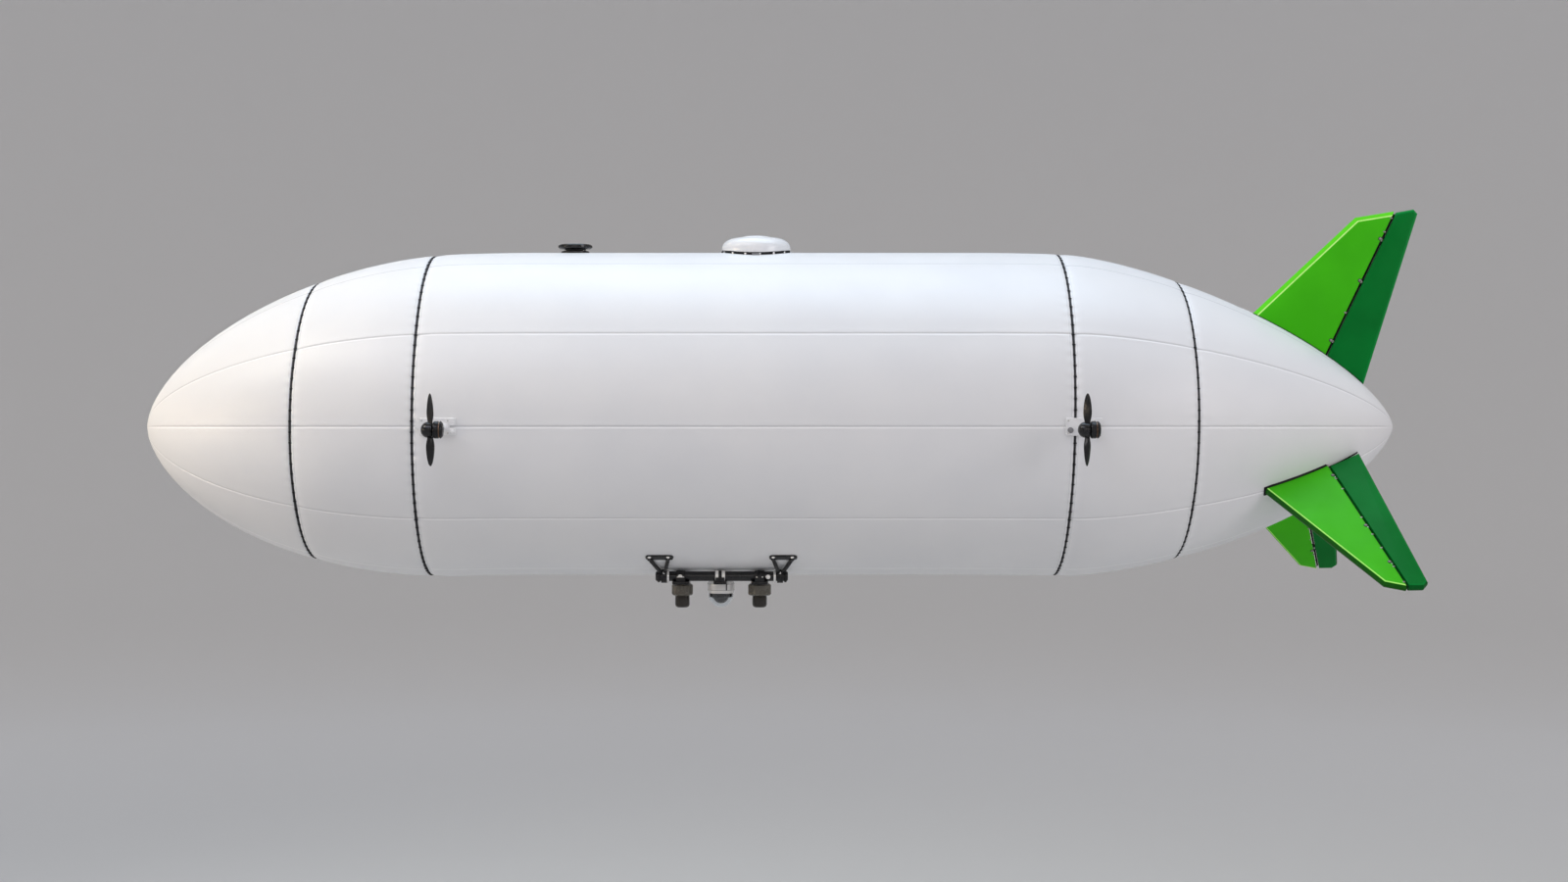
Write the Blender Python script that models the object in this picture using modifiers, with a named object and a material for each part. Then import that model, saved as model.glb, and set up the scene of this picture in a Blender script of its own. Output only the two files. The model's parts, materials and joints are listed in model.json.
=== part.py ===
"""A small unmanned airship: a laced five-piece envelope, three tail fins with hinged
rudders, four side propellers, a sensor rig underneath and two antennas on top.

Metres, +Z up. The nose points to -X and the left (port) side is -Y. The origin is the
middle of the straight line from the nose tip to the tail tip.
"""

import math

import bmesh
import bpy
from mathutils import Matrix, Vector

SEAT = 0.0003  # the gap left where one piece rests on another
SIDES = {"left": -1, "right": 1}

# Envelope
HULL_LENGTH = 6.400
HULL_RADIUS = 0.826
HULL_LIFT = 0.067  # the middle's centre lies this far above the nose to tail line
NOSE_LENGTH = 1.617  # where the nose's curve meets the straight middle
TAIL_LENGTH = 1.718
NOSE_POWERS = (1.90, 1.65)
TAIL_POWERS = (1.50, 1.50)
NOSE_LIFT_RUN = 2.02  # how far from the tip the centre keeps rising
TAIL_LIFT_RUN = 2.17
SKIN = 0.010
HULL_SIDES = 32
SEAM_X = (-2.322, -1.723, 1.464, 2.078)  # the four laced rings
BAND_WIDTH = 0.014
BAND_RECESS = 0.005

# Tail fins: outlines in the fin's own plane, as (x, distance out from the plane's root line)
FIN_THICKNESS = 0.042
FIN_CHAMFER = 0.0105
FIN_GAP = 0.008  # the fixed fin ends this far in front of the hinge axis
RUDDER_GAP = 0.006  # the rudder begins this far behind it
RUDDER_CLEARANCE = 0.011  # from the envelope
ROOT_OVERRUN = 0.14  # how far an outline runs on into the envelope before it is cut
TIP_CORNER = 0.030  # the cut at the rudder's outer rear corner
UPPER_FIN = {
    "leading": ((2.478, 0.5735), (3.017, 1.078)),
    "hinge": ((2.859, 0.355), (3.2225, 1.107)),
    "trailing": ((3.060, 0.2274), (3.345, 1.126)),
}
LOWER_FIN = {
    "leading": ((2.460, 0.635), (2.928, 1.2755)),
    "hinge": ((2.793, 0.436), (3.039, 1.302)),
    "trailing": ((2.964, 0.335), (3.145, 1.298)),
}
LOWER_FIN_DROP = math.radians(42.5)  # below the horizontal
LOWER_FIN_ROOT_HEIGHT = 0.105  # of the lower fins' root line
RUDDER_SWING = math.radians(22)  # to each side
HINGE_SHARES = (0.112, 0.521, 0.808)  # where the hinges are along the hinge line
KNUCKLE_RADIUS = 0.0055
KNUCKLE_LENGTH = 0.014
KNUCKLE_SIDES = 10
WEB_THICKNESS = 0.0048
WEB_BITE = 0.004  # how far a web reaches into its fin or rudder
PIN_RADIUS = 0.002
PIN_CLEARANCE = 0.0005
PIN_OVERRUN = 0.006
BORE_RADIUS = PIN_RADIUS + PIN_CLEARANCE

# Propulsion: distances along the axis are measured from the blades, positive towards the tail
BLADE_X = {"front": -1.618, "rear": 1.5015}
MOUNT_DROP = math.radians(4.1)  # how far below the hull's widest line the units stand
ARM_LENGTH = 0.200  # from the envelope to the propeller's axis
PROPELLER_RADIUS = 0.1735
BLADE_CHORD = 0.043
BLADE_ROOT_CHORD = 0.030
BLADE_WIDEST = 0.35  # where the chord is longest, as a share of the blade
BLADE_SIDES = 8
BLADE_PITCH = (math.radians(56), math.radians(38))  # at the root and at the tip
BLADE_THICKNESS = (0.20, 0.12)  # of the chord, at the root and at the tip
BLADE_BITE = 0.014  # how far the blade starts inside the spinner
SPINNER_RADIUS = 0.038
SPINNER_FRONT = -0.046
SPINNER_SHOULDER = -0.010
SPINNER_REAR = 0.009
MOTOR_FRONT = 0.014
MOTOR_REAR = 0.064
MOTOR_RADIUS = 0.042
MOTOR_CHAMFER = 0.006
SHAFT_RADIUS = 0.005
SHAFT_END = 0.032
SHAFT_END_PLAY = 0.002
ARM_X = 0.039  # the arm stands this far behind the blades
ARM_RADIUS = 0.011
ARM_BITE = 0.003
SHOE_SIZE = (0.036, 0.050, 0.016)  # the cradle at the arm's end, cut to the motor's round
PLATE_SIZE = (0.176, 0.084, 0.009)
PLATE_X = 0.010
PLATE_UNDERCUT = 0.030  # the plate's block starts this deep, before the envelope cuts it
NOTCH_SIZE = (0.030, 0.012, 0.1)

# Sensor rig
TUBE_X = (-0.580, 0.088)
TUBE_Y = 0.2628
TUBE_Z = -0.755
TUBE_RADIUS = 0.025
TUBE_SIDES = 16
BRACKET_DROP = math.radians(60)
BRACKET_PLATE = (0.140, 0.046, 0.008)
BRACKET_UNDERCUT = 0.012
STRUT_RADIUS = 0.009
STRUT_SIDES = 8
STRUT_FOOT_TURN = math.radians(0.9)  # the struts meet the plate near its lower edge
STRUT_FOOT_RISE = 0.005
COLLAR_RADIUS = 0.034
COLLAR_WIDTH = 0.030
BRACKET_PLATE_X = {"front": -0.555, "rear": 0.063}
STRUT_FOOT_X = {"front": (-0.605, -0.512), "rear": (0.013, 0.108)}
COLLAR_X = {"front": -0.537, "rear": 0.0485}
CROSS_PLATE_X = {"front": -0.4533, "centre": -0.2542, "rear": -0.0551}
CROSS_PLATE_WIDTH = {"front": 0.085, "centre": 0.066, "rear": 0.085}
CROSS_PLATE_THICKNESS = 0.014
CROSS_PLATE_OVERHANG = 0.040  # past the tubes' centres
SADDLE_SIZE = (0.050, 0.060)  # along the tube and across it
SADDLE_BITE = 0.004
SADDLE_TOP = 0.024  # above the tube's centre
RIG_BOTTOM = TUBE_Z - TUBE_RADIUS - SEAT - CROSS_PLATE_THICKNESS  # the cross plates' underside

# Sensor pods
POD_BOTTOM = -0.931
POD_STEP = -0.869
POD_CHAMFER = 0.006
LENS_RADIUS = 0.038
LENS_ROUND = 0.016
LENS_ROUND_STEPS = 4
POD_RADIUS = {"front": 0.057, "rear": 0.0645}
POD_SIDES = {"front": 12, "rear": 8}

# Dome camera
CAMERA_SIDES = 20
CAMERA_RADIUS = 0.070
CAMERA_WALL = 0.005
CAMERA_ROOF = 0.006
CAMERA_CHAMFER = 0.004
CAMERA_BOTTOM = -0.857
WINDOW_RADIUS = CAMERA_RADIUS - CAMERA_WALL - SEAT
WINDOW_WALL = 0.003
WINDOW_RIM = 0.006  # how far the clear dome's rim reaches up into the housing
WINDOW_CENTRE = -0.8651
WINDOW_STEPS = 6
BALL_CENTRE = -0.869
BALL_RADIUS = 0.040
BALL_SEGMENTS = (16, 10)
BARREL_RADIUS = 0.017
BARREL_LENGTH = 0.041
TRUNNION_RADIUS = 0.004
TRUNNION_REACH = 0.005
FORK_RADIUS = 0.049
FORK_LEVELS = (0.046, 0.053)  # its disc's bottom and top above the ball's centre
FORK_ARM = (0.018, 0.005)  # width and thickness
FORK_GAP = 0.0025  # between an arm and the ball
FORK_ARM_BOTTOM = -0.009
FORK_POST_RADIUS = 0.012

# Antennas on top
ANTENNA_SIDES = 28
UNDERCUT = 0.05  # how deep an antenna's solid starts, before the envelope cuts it
GASKET = 0.013  # the black ring under the dome, as thick everywhere as the envelope is round
GASKET_RADIUS = 0.180
DOME_X = -0.0723
DOME_RADIUS = 0.177
DOME_SHOULDER = 0.025  # heights above the envelope's crest
DOME_FLAT = 0.079
DOME_TOP = 0.092
DOME_FLAT_RADIUS = 0.100
DOME_SHOULDER_STEPS = 5
CAP_RADII = (0.055, 0.079)
CAP_EDGE = 0.003
DISC_X = -1.0056
DISC_SIDES = 20
DISC_RADIUS = 0.086
DISC_LEVELS = (0.013, 0.023, 0.047)  # top of the flange, of the neck and of the disc
DISC_CHAMFER = 0.006
FLANGE_RADIUS = 0.0725
NECK_RADIUS = 0.054

ALONG_X = Matrix.Rotation(math.radians(90), 4, "Y")  # turns the Z axis onto X
ALONG_Y = Matrix.Rotation(math.radians(-90), 4, "X")


# Scene, materials and objects


def clear_scene():
    for obj in list(bpy.data.objects):
        bpy.data.objects.remove(obj, do_unlink=True)


def add_collection(name, parent, hidden=False):
    collection = bpy.data.collections.new(name)
    parent.children.link(collection)
    collection.hide_render = hidden
    return collection


def make_material(name, colour, roughness, metallic=0.0, alpha=1.0):
    material = bpy.data.materials.new(name)
    material.use_nodes = True
    shader = material.node_tree.nodes["Principled BSDF"]
    shader.inputs["Base Color"].default_value = (*colour, 1.0)
    shader.inputs["Roughness"].default_value = roughness
    shader.inputs["Metallic"].default_value = metallic
    shader.inputs["Alpha"].default_value = alpha
    return material


def make_materials():
    return {
        "envelope": make_material("envelope", (0.80, 0.80, 0.81), 0.45),
        "lacing": make_material("lacing", (0.02, 0.02, 0.025), 0.6),
        "green": make_material("fin_green", (0.10, 0.42, 0.03), 0.35),
        "dark_green": make_material("rudder_green", (0.02, 0.17, 0.04), 0.35),
        "black": make_material("black_metal", (0.02, 0.02, 0.02), 0.35, 0.4),
        "gloss_black": make_material("propeller_black", (0.015, 0.015, 0.015), 0.25),
        "white": make_material("white_plastic", (0.82, 0.82, 0.83), 0.3),
        "silver": make_material("silver", (0.78, 0.77, 0.75), 0.25, 1.0),
        "grey": make_material("pod_grey", (0.05, 0.048, 0.045), 0.4, 0.3),
        "glass": make_material("window_glass", (0.55, 0.62, 0.70), 0.03, 0.0, 0.3),
    }


def add_piece(name, mesh, material, place=None):
    """A named sub-part of the airship."""
    obj = bpy.data.objects.new(name, mesh)
    bpy.data.collections["airship"].objects.link(obj)
    mesh.materials.append(material)
    obj.matrix_world = place or Matrix()
    return obj


def add_helper(name, data, place=None, group=None):
    """A cutter or an operand of a Boolean. It isn't part of the airship."""
    obj = bpy.data.objects.new(name, data)
    (group or bpy.data.collections["helpers"]).objects.link(obj)
    obj.matrix_world = place or Matrix()
    obj.hide_render = True
    obj.display_type = "WIRE"
    return obj


def helper_group(name):
    """A collection of helpers that one Boolean takes together."""
    return add_collection(name, bpy.data.collections["helpers"])


def boolean(obj, operation, other):
    modifier = obj.modifiers.new(operation.lower(), "BOOLEAN")
    modifier.operation = operation
    modifier.solver = "EXACT"
    if isinstance(other, bpy.types.Collection):
        modifier.operand_type = "COLLECTION"
        modifier.collection = other
    else:
        modifier.object = other


def smooth(obj):
    obj.data.shade_smooth()
    obj.data.set_sharp_from_angle(angle=math.radians(35))


# Mesh builders


def finish_mesh(bm, name):
    bmesh.ops.recalc_face_normals(bm, faces=bm.faces)
    if bm.calc_volume(signed=True) < 0:
        bmesh.ops.reverse_faces(bm, faces=bm.faces)
    mesh = bpy.data.meshes.new(name)
    bm.to_mesh(mesh)
    bm.free()
    return mesh


def box(name, size):
    bm = bmesh.new()
    bmesh.ops.create_cube(bm, size=1.0)
    bmesh.ops.scale(bm, vec=size, verts=bm.verts)
    return finish_mesh(bm, name)


def rod(name, radius, length, sides):
    """A cylinder along Z, centred on the origin."""
    bm = bmesh.new()
    bmesh.ops.create_cone(bm, cap_ends=True, segments=sides, radius1=radius, radius2=radius, depth=length)
    return finish_mesh(bm, name)


def shift(x, y, z):
    return Matrix.Translation((x, y, z))


def between(start, end):
    """Carries the Z axis onto the line from start to end, with the origin halfway."""
    turn = (end - start).to_track_quat("Z", "Y").to_matrix().to_4x4()
    return Matrix.Translation((start + end) / 2) @ turn


def spin(obj, sides):
    """Turns the object's profile, drawn in the XZ plane, about its Z axis."""
    screw = obj.modifiers.new("turn", "SCREW")
    screw.steps = screw.render_steps = sides
    screw.use_merge_vertices = True
    screw.merge_threshold = 0.00005


def profile_mesh(name, profile):
    """An open line through (radius, height) points, top to bottom on the outer side."""
    mesh = bpy.data.meshes.new(name)
    edges = [(i, i + 1) for i in range(len(profile) - 1)]
    mesh.from_pydata([(radius, 0.0, height) for radius, height in profile], edges, [])
    return mesh


def add_turned(name, profile, material, sides, place=None):
    obj = add_piece(name, profile_mesh(name, profile), material, place)
    spin(obj, sides)
    return obj


def arc(centre, radius, start, end, steps):
    """Points on an arc in the profile's plane, angles in degrees from outwards towards up."""
    angles = [math.radians(start + (end - start) * i / steps) for i in range(steps + 1)]
    return [(centre[0] + radius * math.cos(a), centre[1] + radius * math.sin(a)) for a in angles]


def loft(rings, closed_ends=False, endless=False):
    """A skin over rings of equally many points. A ring of one point is a tip."""
    bm = bmesh.new()
    layers = [[bm.verts.new(point) for point in ring] for ring in rings]
    following = layers[1:] + layers[:1] if endless else layers[1:]
    for a, b in zip(layers, following):
        count = max(len(a), len(b))
        for i in range(count if count > 1 else 0):
            j = (i + 1) % count
            if len(a) == 1:
                bm.faces.new((a[0], b[j], b[i]))
            elif len(b) == 1:
                bm.faces.new((a[i], a[j], b[0]))
            else:
                bm.faces.new((a[i], a[j], b[j], b[i]))
    if closed_ends:
        bm.faces.new(layers[0][::-1])
        bm.faces.new(layers[-1])
    return bm


# Envelope


def smooth_step(u):
    u = min(max(u, 0.0), 1.0)
    return u * u * (3 - 2 * u)


def hull_radius(x):
    from_nose = max(x + HULL_LENGTH / 2, 0.0)
    from_tail = max(HULL_LENGTH / 2 - x, 0.0)
    if from_nose < NOSE_LENGTH:
        u, (p, q) = 1 - from_nose / NOSE_LENGTH, NOSE_POWERS
    elif from_tail < TAIL_LENGTH:
        u, (p, q) = 1 - from_tail / TAIL_LENGTH, TAIL_POWERS
    else:
        return HULL_RADIUS
    return HULL_RADIUS * (1 - u**p) ** (1 / q)


def hull_centre(x):
    """Height of the hull's round section at x above the nose to tail line."""
    from_nose = (x + HULL_LENGTH / 2) / NOSE_LIFT_RUN
    from_tail = (HULL_LENGTH / 2 - x) / TAIL_LIFT_RUN
    return HULL_LIFT * smooth_step(from_nose) * smooth_step(from_tail)


def hull_ring(x, offset=0.0):
    """Points round the section at x, offset outwards. At a tip it is one point."""
    if abs(x) >= HULL_LENGTH / 2:
        return [Vector((x + math.copysign(offset, x), 0, 0))]
    radius = hull_radius(x) + offset
    height = hull_centre(x)
    angles = [2 * math.pi * i / HULL_SIDES for i in range(HULL_SIDES)]
    return [Vector((x, radius * math.cos(a), height + radius * math.sin(a))) for a in angles]


def spread(start, end, count, power=1.0):
    """count steps from start to end, closer together at the start where power is over 1."""
    return [start + (end - start) * (i / count) ** power for i in range(count + 1)]


def section_stations():
    """Where along X each envelope section has its rings of points."""
    half = HULL_LENGTH / 2
    edge = BAND_WIDTH / 2
    s1, s2, s3, s4 = SEAM_X
    bend = 0.03
    centre = [s2 + edge, NOSE_LENGTH - half + bend, NOSE_LIFT_RUN - half, half - TAIL_LIFT_RUN]
    centre += [half - (TAIL_LENGTH + TAIL_LIFT_RUN) / 2, half - TAIL_LENGTH - bend, s3 - edge]
    return {
        "nose_cone": spread(-half, s1 - edge, 8, 1.9),
        "front_section": spread(s1 + edge, s2 - edge, 3),
        "centre_section": centre,
        "rear_section": spread(s3 + edge, s4 - edge, 4),
        "tail_cone": spread(half, s4 + edge, 9, 1.8)[::-1],
    }


def inner_ring(x, depth, is_rim):
    """The ring of the wall's inner face. At a rim it stays in the same plane."""
    if abs(x) >= HULL_LENGTH / 2:
        return hull_ring(x, -depth)
    step = 0.0005
    slope = (hull_radius(x + step) - hull_radius(x - step)) / (2 * step)
    length = math.hypot(1, slope)
    if is_rim:
        return hull_ring(x, -depth * length)
    inward = Vector((depth * slope / length, 0, 0))
    return [point + inward for point in hull_ring(x, -depth / length)]


def add_shell(name, stations, depth, material):
    """A length of the envelope's wall. Its outer face lies depth under the surface."""
    rims = (stations[0], stations[-1])
    outer = [hull_ring(x, -depth) for x in stations]
    inner = [inner_ring(x, depth + SKIN, x in rims) for x in stations]
    shell = add_piece(name, finish_mesh(loft(outer + inner[::-1], endless=True), name), material)
    smooth(shell)


def add_envelope(materials):
    for name, stations in section_stations().items():
        add_shell(name, stations, 0.0, materials["envelope"])
    half = BAND_WIDTH / 2 - SEAT
    for number, x in enumerate(SEAM_X, 1):
        add_shell(f"seam_band_{number}", [x - half, x + half], BAND_RECESS, materials["lacing"])


def hull_solid(name, offset):
    """The whole outer shape, enlarged by offset, to cut what rests on the envelope."""
    stations = sorted({x for xs in section_stations().values() for x in xs})
    return add_helper(name, finish_mesh(loft([hull_ring(x, offset) for x in stations]), name))


def hull_frame(x, side, drop, outward=0.0):
    """On the section at x, drop below the horizontal: X aft, Z outwards."""
    direction = Vector((0, side * math.cos(drop), -math.sin(drop)))
    aft = Vector((1, 0, 0))
    turn = Matrix((aft, direction.cross(aft), direction)).transposed().to_4x4()
    centre = Vector((x, 0, hull_centre(x)))
    return Matrix.Translation(centre + direction * (hull_radius(x) + outward)) @ turn


# Tail fins


def fin_frame(turn, root_height):
    """Carries an outline's plane into place: Y points out, turned about the X axis."""
    upright = Matrix.Rotation(math.radians(90), 4, "X")
    return shift(0, 0, root_height) @ Matrix.Rotation(turn, 4, "X") @ upright


def hinge_frame(hinge):
    """In the fin's plane: origin at the hinge's inner end, X aft and Y along the hinge."""
    start, end = Vector(hinge[0]), Vector(hinge[1])
    along = (end - start).normalized()
    return Matrix(
        ((along.y, along.x, 0, start.x), (-along.x, along.y, 0, start.y), (0, 0, 1, 0), (0, 0, 0, 1))
    )


def beyond(start, end, distance):
    """The point on the line from start to end, distance past the end."""
    return end + (end - start).normalized() * distance


def fin_outline(fin):
    """The corners of fin and rudder together, running on into the envelope at the root."""
    leading_root, leading_tip = (Vector(point) for point in fin["leading"])
    trailing_root, trailing_tip = (Vector(point) for point in fin["trailing"])
    hinge_tip = Vector(fin["hinge"][1])
    return [
        beyond(leading_tip, leading_root, ROOT_OVERRUN),
        leading_tip,
        hinge_tip,
        beyond(hinge_tip, trailing_tip, -TIP_CORNER),
        beyond(trailing_root, trailing_tip, -TIP_CORNER),
        beyond(trailing_tip, trailing_root, ROOT_OVERRUN),
    ]


def fin_slab(name, fin):
    """A chamfered slab of the whole outline, from a filled and bevelled curve."""
    curve = bpy.data.curves.new(name, "CURVE")
    curve.dimensions = "2D"
    curve.fill_mode = "BOTH"
    curve.extrude = FIN_THICKNESS / 2 - FIN_CHAMFER
    curve.bevel_depth = FIN_CHAMFER
    curve.bevel_resolution = 0
    curve.offset = -FIN_CHAMFER
    corners = fin_outline(fin)
    spline = curve.splines.new("POLY")
    spline.points.add(len(corners) - 1)
    for point, corner in zip(spline.points, corners):
        point.co = (*corner, 0, 1)
    spline.use_cyclic_u = True
    drawn = add_helper(name + "_outline", curve)
    mesh = bpy.data.meshes.new_from_object(drawn.evaluated_get(bpy.context.evaluated_depsgraph_get()))
    bpy.data.objects.remove(drawn, do_unlink=True)
    bm = bmesh.new()
    bm.from_mesh(mesh)
    bmesh.ops.remove_doubles(bm, verts=bm.verts, dist=0.00001)
    return finish_mesh(bm, name)


def add_knuckle(name, at_hinge, middle, reach, group):
    """A hinge knuckle and the web that ties it to the fin (reach below 0) or the rudder."""
    add_helper(
        name,
        rod(name, KNUCKLE_RADIUS, KNUCKLE_LENGTH, KNUCKLE_SIDES),
        at_hinge @ shift(0, middle, 0) @ ALONG_Y,
        group,
    )
    start = math.copysign(BORE_RADIUS + SEAT, reach)
    size = (abs(reach - start), KNUCKLE_LENGTH - 2 * PIN_CLEARANCE, WEB_THICKNESS)
    web_name = name + "_web"
    add_helper(web_name, box(web_name, size), at_hinge @ shift((reach + start) / 2, middle, 0), group)


def add_hinges(fin, rudder, at_hinge, length):
    """Three hinges: the middle knuckle is the fin's, the outer two and the pin the rudder's."""
    fixed = helper_group(fin.name + "_knuckles")
    bores = helper_group(fin.name + "_bores")
    moving = helper_group(rudder.name + "_knuckles")
    pitch = KNUCKLE_LENGTH + PIN_CLEARANCE
    for number, share in enumerate(HINGE_SHARES, 1):
        middle = share * length
        place = at_hinge @ shift(0, middle, 0) @ ALONG_Y
        add_knuckle(f"{fin.name}_knuckle_{number}", at_hinge, middle, -FIN_GAP - WEB_BITE, fixed)
        bore_name = f"{fin.name}_bore_{number}"
        add_helper(bore_name, rod(bore_name, BORE_RADIUS, 2 * pitch, KNUCKLE_SIDES), place, bores)
        for side in (-1, 1):
            name = f"{rudder.name}_knuckle_{number}_{side}"
            add_knuckle(name, at_hinge, middle + side * pitch, RUDDER_GAP + WEB_BITE, moving)
        pin_name = f"{rudder.name}_pin_{number}"
        pin_length = 2 * (pitch + PIN_OVERRUN)
        add_helper(pin_name, rod(pin_name, PIN_RADIUS, pin_length, KNUCKLE_SIDES), place, moving)
    boolean(fin, "UNION", fixed)
    boolean(fin, "DIFFERENCE", bores)
    boolean(rudder, "UNION", moving)


def add_fin(fin_name, rudder_name, place, fin_shape, materials, cutters):
    """A fixed fin and its rudder, cut from one slab. The rudder's origin is on its hinge."""
    to_hinge = hinge_frame(fin_shape["hinge"])
    at_hinge = place @ to_hinge
    hinge_start, hinge_end = (Vector(point) for point in fin_shape["hinge"])
    length = (hinge_end - hinge_start).length
    slab = fin_slab(fin_name, fin_shape)
    rudder_slab = slab.copy()
    rudder_slab.transform(to_hinge.inverted())
    fin = add_piece(fin_name, slab, materials["green"], place)
    rudder = add_piece(rudder_name, rudder_slab, materials["dark_green"], at_hinge)

    reach = 2 * length
    block = box(fin_name + "_hinge_cut", (reach, 2 * reach, 4 * FIN_THICKNESS))
    aft_of_gap = at_hinge @ shift(reach / 2 - FIN_GAP, length / 2, 0)
    ahead_of_gap = at_hinge @ shift(RUDDER_GAP - reach / 2, length / 2, 0)
    boolean(fin, "DIFFERENCE", add_helper(fin_name + "_cut", block, aft_of_gap))
    boolean(fin, "DIFFERENCE", cutters["seat"])
    boolean(rudder, "DIFFERENCE", add_helper(rudder_name + "_cut", block, ahead_of_gap))
    for angle in (-RUDDER_SWING, 0.0, RUDDER_SWING):
        turned_hull = at_hinge @ Matrix.Rotation(angle, 4, "Y") @ at_hinge.inverted()
        clearance = add_helper(rudder_name + "_clearance", cutters["rudder"].data, turned_hull)
        boolean(rudder, "DIFFERENCE", clearance)
    add_hinges(fin, rudder, at_hinge, length)


def add_tail(materials, cutters):
    down = math.radians(90) + LOWER_FIN_DROP
    add_fin("upper_fin", "upper_rudder", fin_frame(0, 0), UPPER_FIN, materials, cutters)
    for side_name, side in SIDES.items():
        place = fin_frame(-side * down, LOWER_FIN_ROOT_HEIGHT)
        rudder_name = side_name + "_ruddervator"
        add_fin(side_name + "_lower_fin", rudder_name, place, LOWER_FIN, materials, cutters)


# Propulsion units: each has a frame at the blades, with X aft along the axis and Z outwards


def blade_chord(share):
    """The chord at a share of the blade's length: full at the widest point, rounded to the tip."""
    if share < BLADE_WIDEST:
        rise = math.sin(math.pi / 2 * share / BLADE_WIDEST)
        return BLADE_ROOT_CHORD + (BLADE_CHORD - BLADE_ROOT_CHORD) * rise
    out = (share - BLADE_WIDEST) / (1 - BLADE_WIDEST)
    return BLADE_CHORD * math.sqrt(max(1 - out * out, 0.03))


def blade_section(radius, hand):
    """A ring round the aerofoil at that distance from the axis."""
    share = min(max((radius - SPINNER_RADIUS) / (PROPELLER_RADIUS - SPINNER_RADIUS), 0.0), 1.0)
    chord = blade_chord(share)
    pitch = BLADE_PITCH[0] + (BLADE_PITCH[1] - BLADE_PITCH[0]) * share
    thickness = chord * (BLADE_THICKNESS[0] + (BLADE_THICKNESS[1] - BLADE_THICKNESS[0]) * share)
    points = []
    for i in range(BLADE_SIDES):
        angle = 2 * math.pi * i / BLADE_SIDES
        along, through = chord / 2 * math.cos(angle), thickness / 2 * math.sin(angle)
        axial = along * math.sin(pitch) + through * math.cos(pitch)
        around = hand * (along * math.cos(pitch) - through * math.sin(pitch))
        points.append(Vector((axial, around, radius)))
    return points


def add_propeller(name, frame, hand, material):
    nose_height = SPINNER_SHOULDER - SPINNER_FRONT
    nose_angles = [math.radians(22.5 * i) for i in range(4)]
    nose = [
        (SPINNER_RADIUS * math.cos(a), SPINNER_SHOULDER - nose_height * math.sin(a)) for a in nose_angles
    ]
    profile = [(0.0, SHAFT_END), (SHAFT_RADIUS, SHAFT_END), (SHAFT_RADIUS, SPINNER_REAR)]
    profile += [(SPINNER_RADIUS, SPINNER_REAR)] + nose + [(0.0, SPINNER_FRONT)]
    propeller = add_turned(name, profile, material, 16, frame @ ALONG_X)
    group = helper_group(name + "_blades")
    radii = [SPINNER_RADIUS - BLADE_BITE] + spread(SPINNER_RADIUS, PROPELLER_RADIUS, 5)
    blade = finish_mesh(loft([blade_section(r, hand) for r in radii], closed_ends=True), name)
    for number, degrees in enumerate((90, 270), 1):
        upright = Matrix.Rotation(math.radians(degrees), 4, "X")
        add_helper(f"{name}_blade_{number}", blade, frame @ upright, group)
    boolean(propeller, "UNION", group)


def add_motor(name, frame, material):
    """A round motor with a blind bore in front for the propeller's shaft."""
    bore = SHAFT_RADIUS + PIN_CLEARANCE
    bore_end = SHAFT_END + SHAFT_END_PLAY
    shoulder = MOTOR_RADIUS - MOTOR_CHAMFER
    profile = [
        (0.0, MOTOR_REAR),
        (shoulder, MOTOR_REAR),
        (MOTOR_RADIUS, MOTOR_REAR - MOTOR_CHAMFER),
        (MOTOR_RADIUS, MOTOR_FRONT + MOTOR_CHAMFER),
        (shoulder, MOTOR_FRONT),
        (bore, MOTOR_FRONT),
        (bore, bore_end),
        (0.0, bore_end),
    ]
    add_turned(name, profile, material, 20, frame @ ALONG_X)


def add_motor_mount(name, x, side, frame, material, seat):
    """The plate on the envelope, and the arm with the cradle that holds the motor."""
    length, width, thickness = PLATE_SIZE
    depth = thickness + PLATE_UNDERCUT
    on_hull = hull_frame(x + PLATE_X, side, MOUNT_DROP)
    mount = add_piece(
        name, box(name, (length, width, depth)), material, on_hull @ shift(0, 0, thickness - depth / 2)
    )
    notch = add_helper(name + "_notch", box("notch", NOTCH_SIZE), on_hull @ shift(length / 2, 0, 0))
    boolean(mount, "DIFFERENCE", notch)
    boolean(mount, "DIFFERENCE", seat)
    group = helper_group(name + "_arm")
    arm_length = ARM_LENGTH - ARM_BITE - MOTOR_RADIUS
    arm_middle = -(ARM_LENGTH - ARM_BITE + MOTOR_RADIUS) / 2
    add_helper(name + "_rod", rod("arm", ARM_RADIUS, arm_length, 16), frame @ shift(ARM_X, 0, arm_middle), group)
    add_helper(name + "_shoe", box("shoe", SHOE_SIZE), frame @ shift(ARM_X, 0, -MOTOR_RADIUS), group)
    boolean(mount, "UNION", group)
    motor_room = rod("motor_room", MOTOR_RADIUS + SEAT, 2 * MOTOR_REAR, 20)
    boolean(mount, "DIFFERENCE", add_helper(name + "_room", motor_room, frame @ shift(ARM_X, 0, 0) @ ALONG_X))


def add_propulsion(materials, cutters):
    for end, x in BLADE_X.items():
        for side_name, side in SIDES.items():
            unit = f"{end}_{side_name}"
            frame = hull_frame(x, side, MOUNT_DROP, ARM_LENGTH)
            add_propeller(unit + "_propeller", frame, side, materials["gloss_black"])
            add_motor(unit + "_motor", frame, materials["black"])
            add_motor_mount(unit + "_motor_mount", x, side, frame, materials["white"], cutters["seat"])


# Sensor rig


def tube_frame(x, side):
    return shift(x, side * TUBE_Y, TUBE_Z) @ ALONG_X


def tube_room(name, x, side, length):
    """Cuts the hole that the tube passes through."""
    return add_helper(name, rod(name, TUBE_RADIUS + SEAT, length, TUBE_SIDES), tube_frame(x, side))


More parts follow.
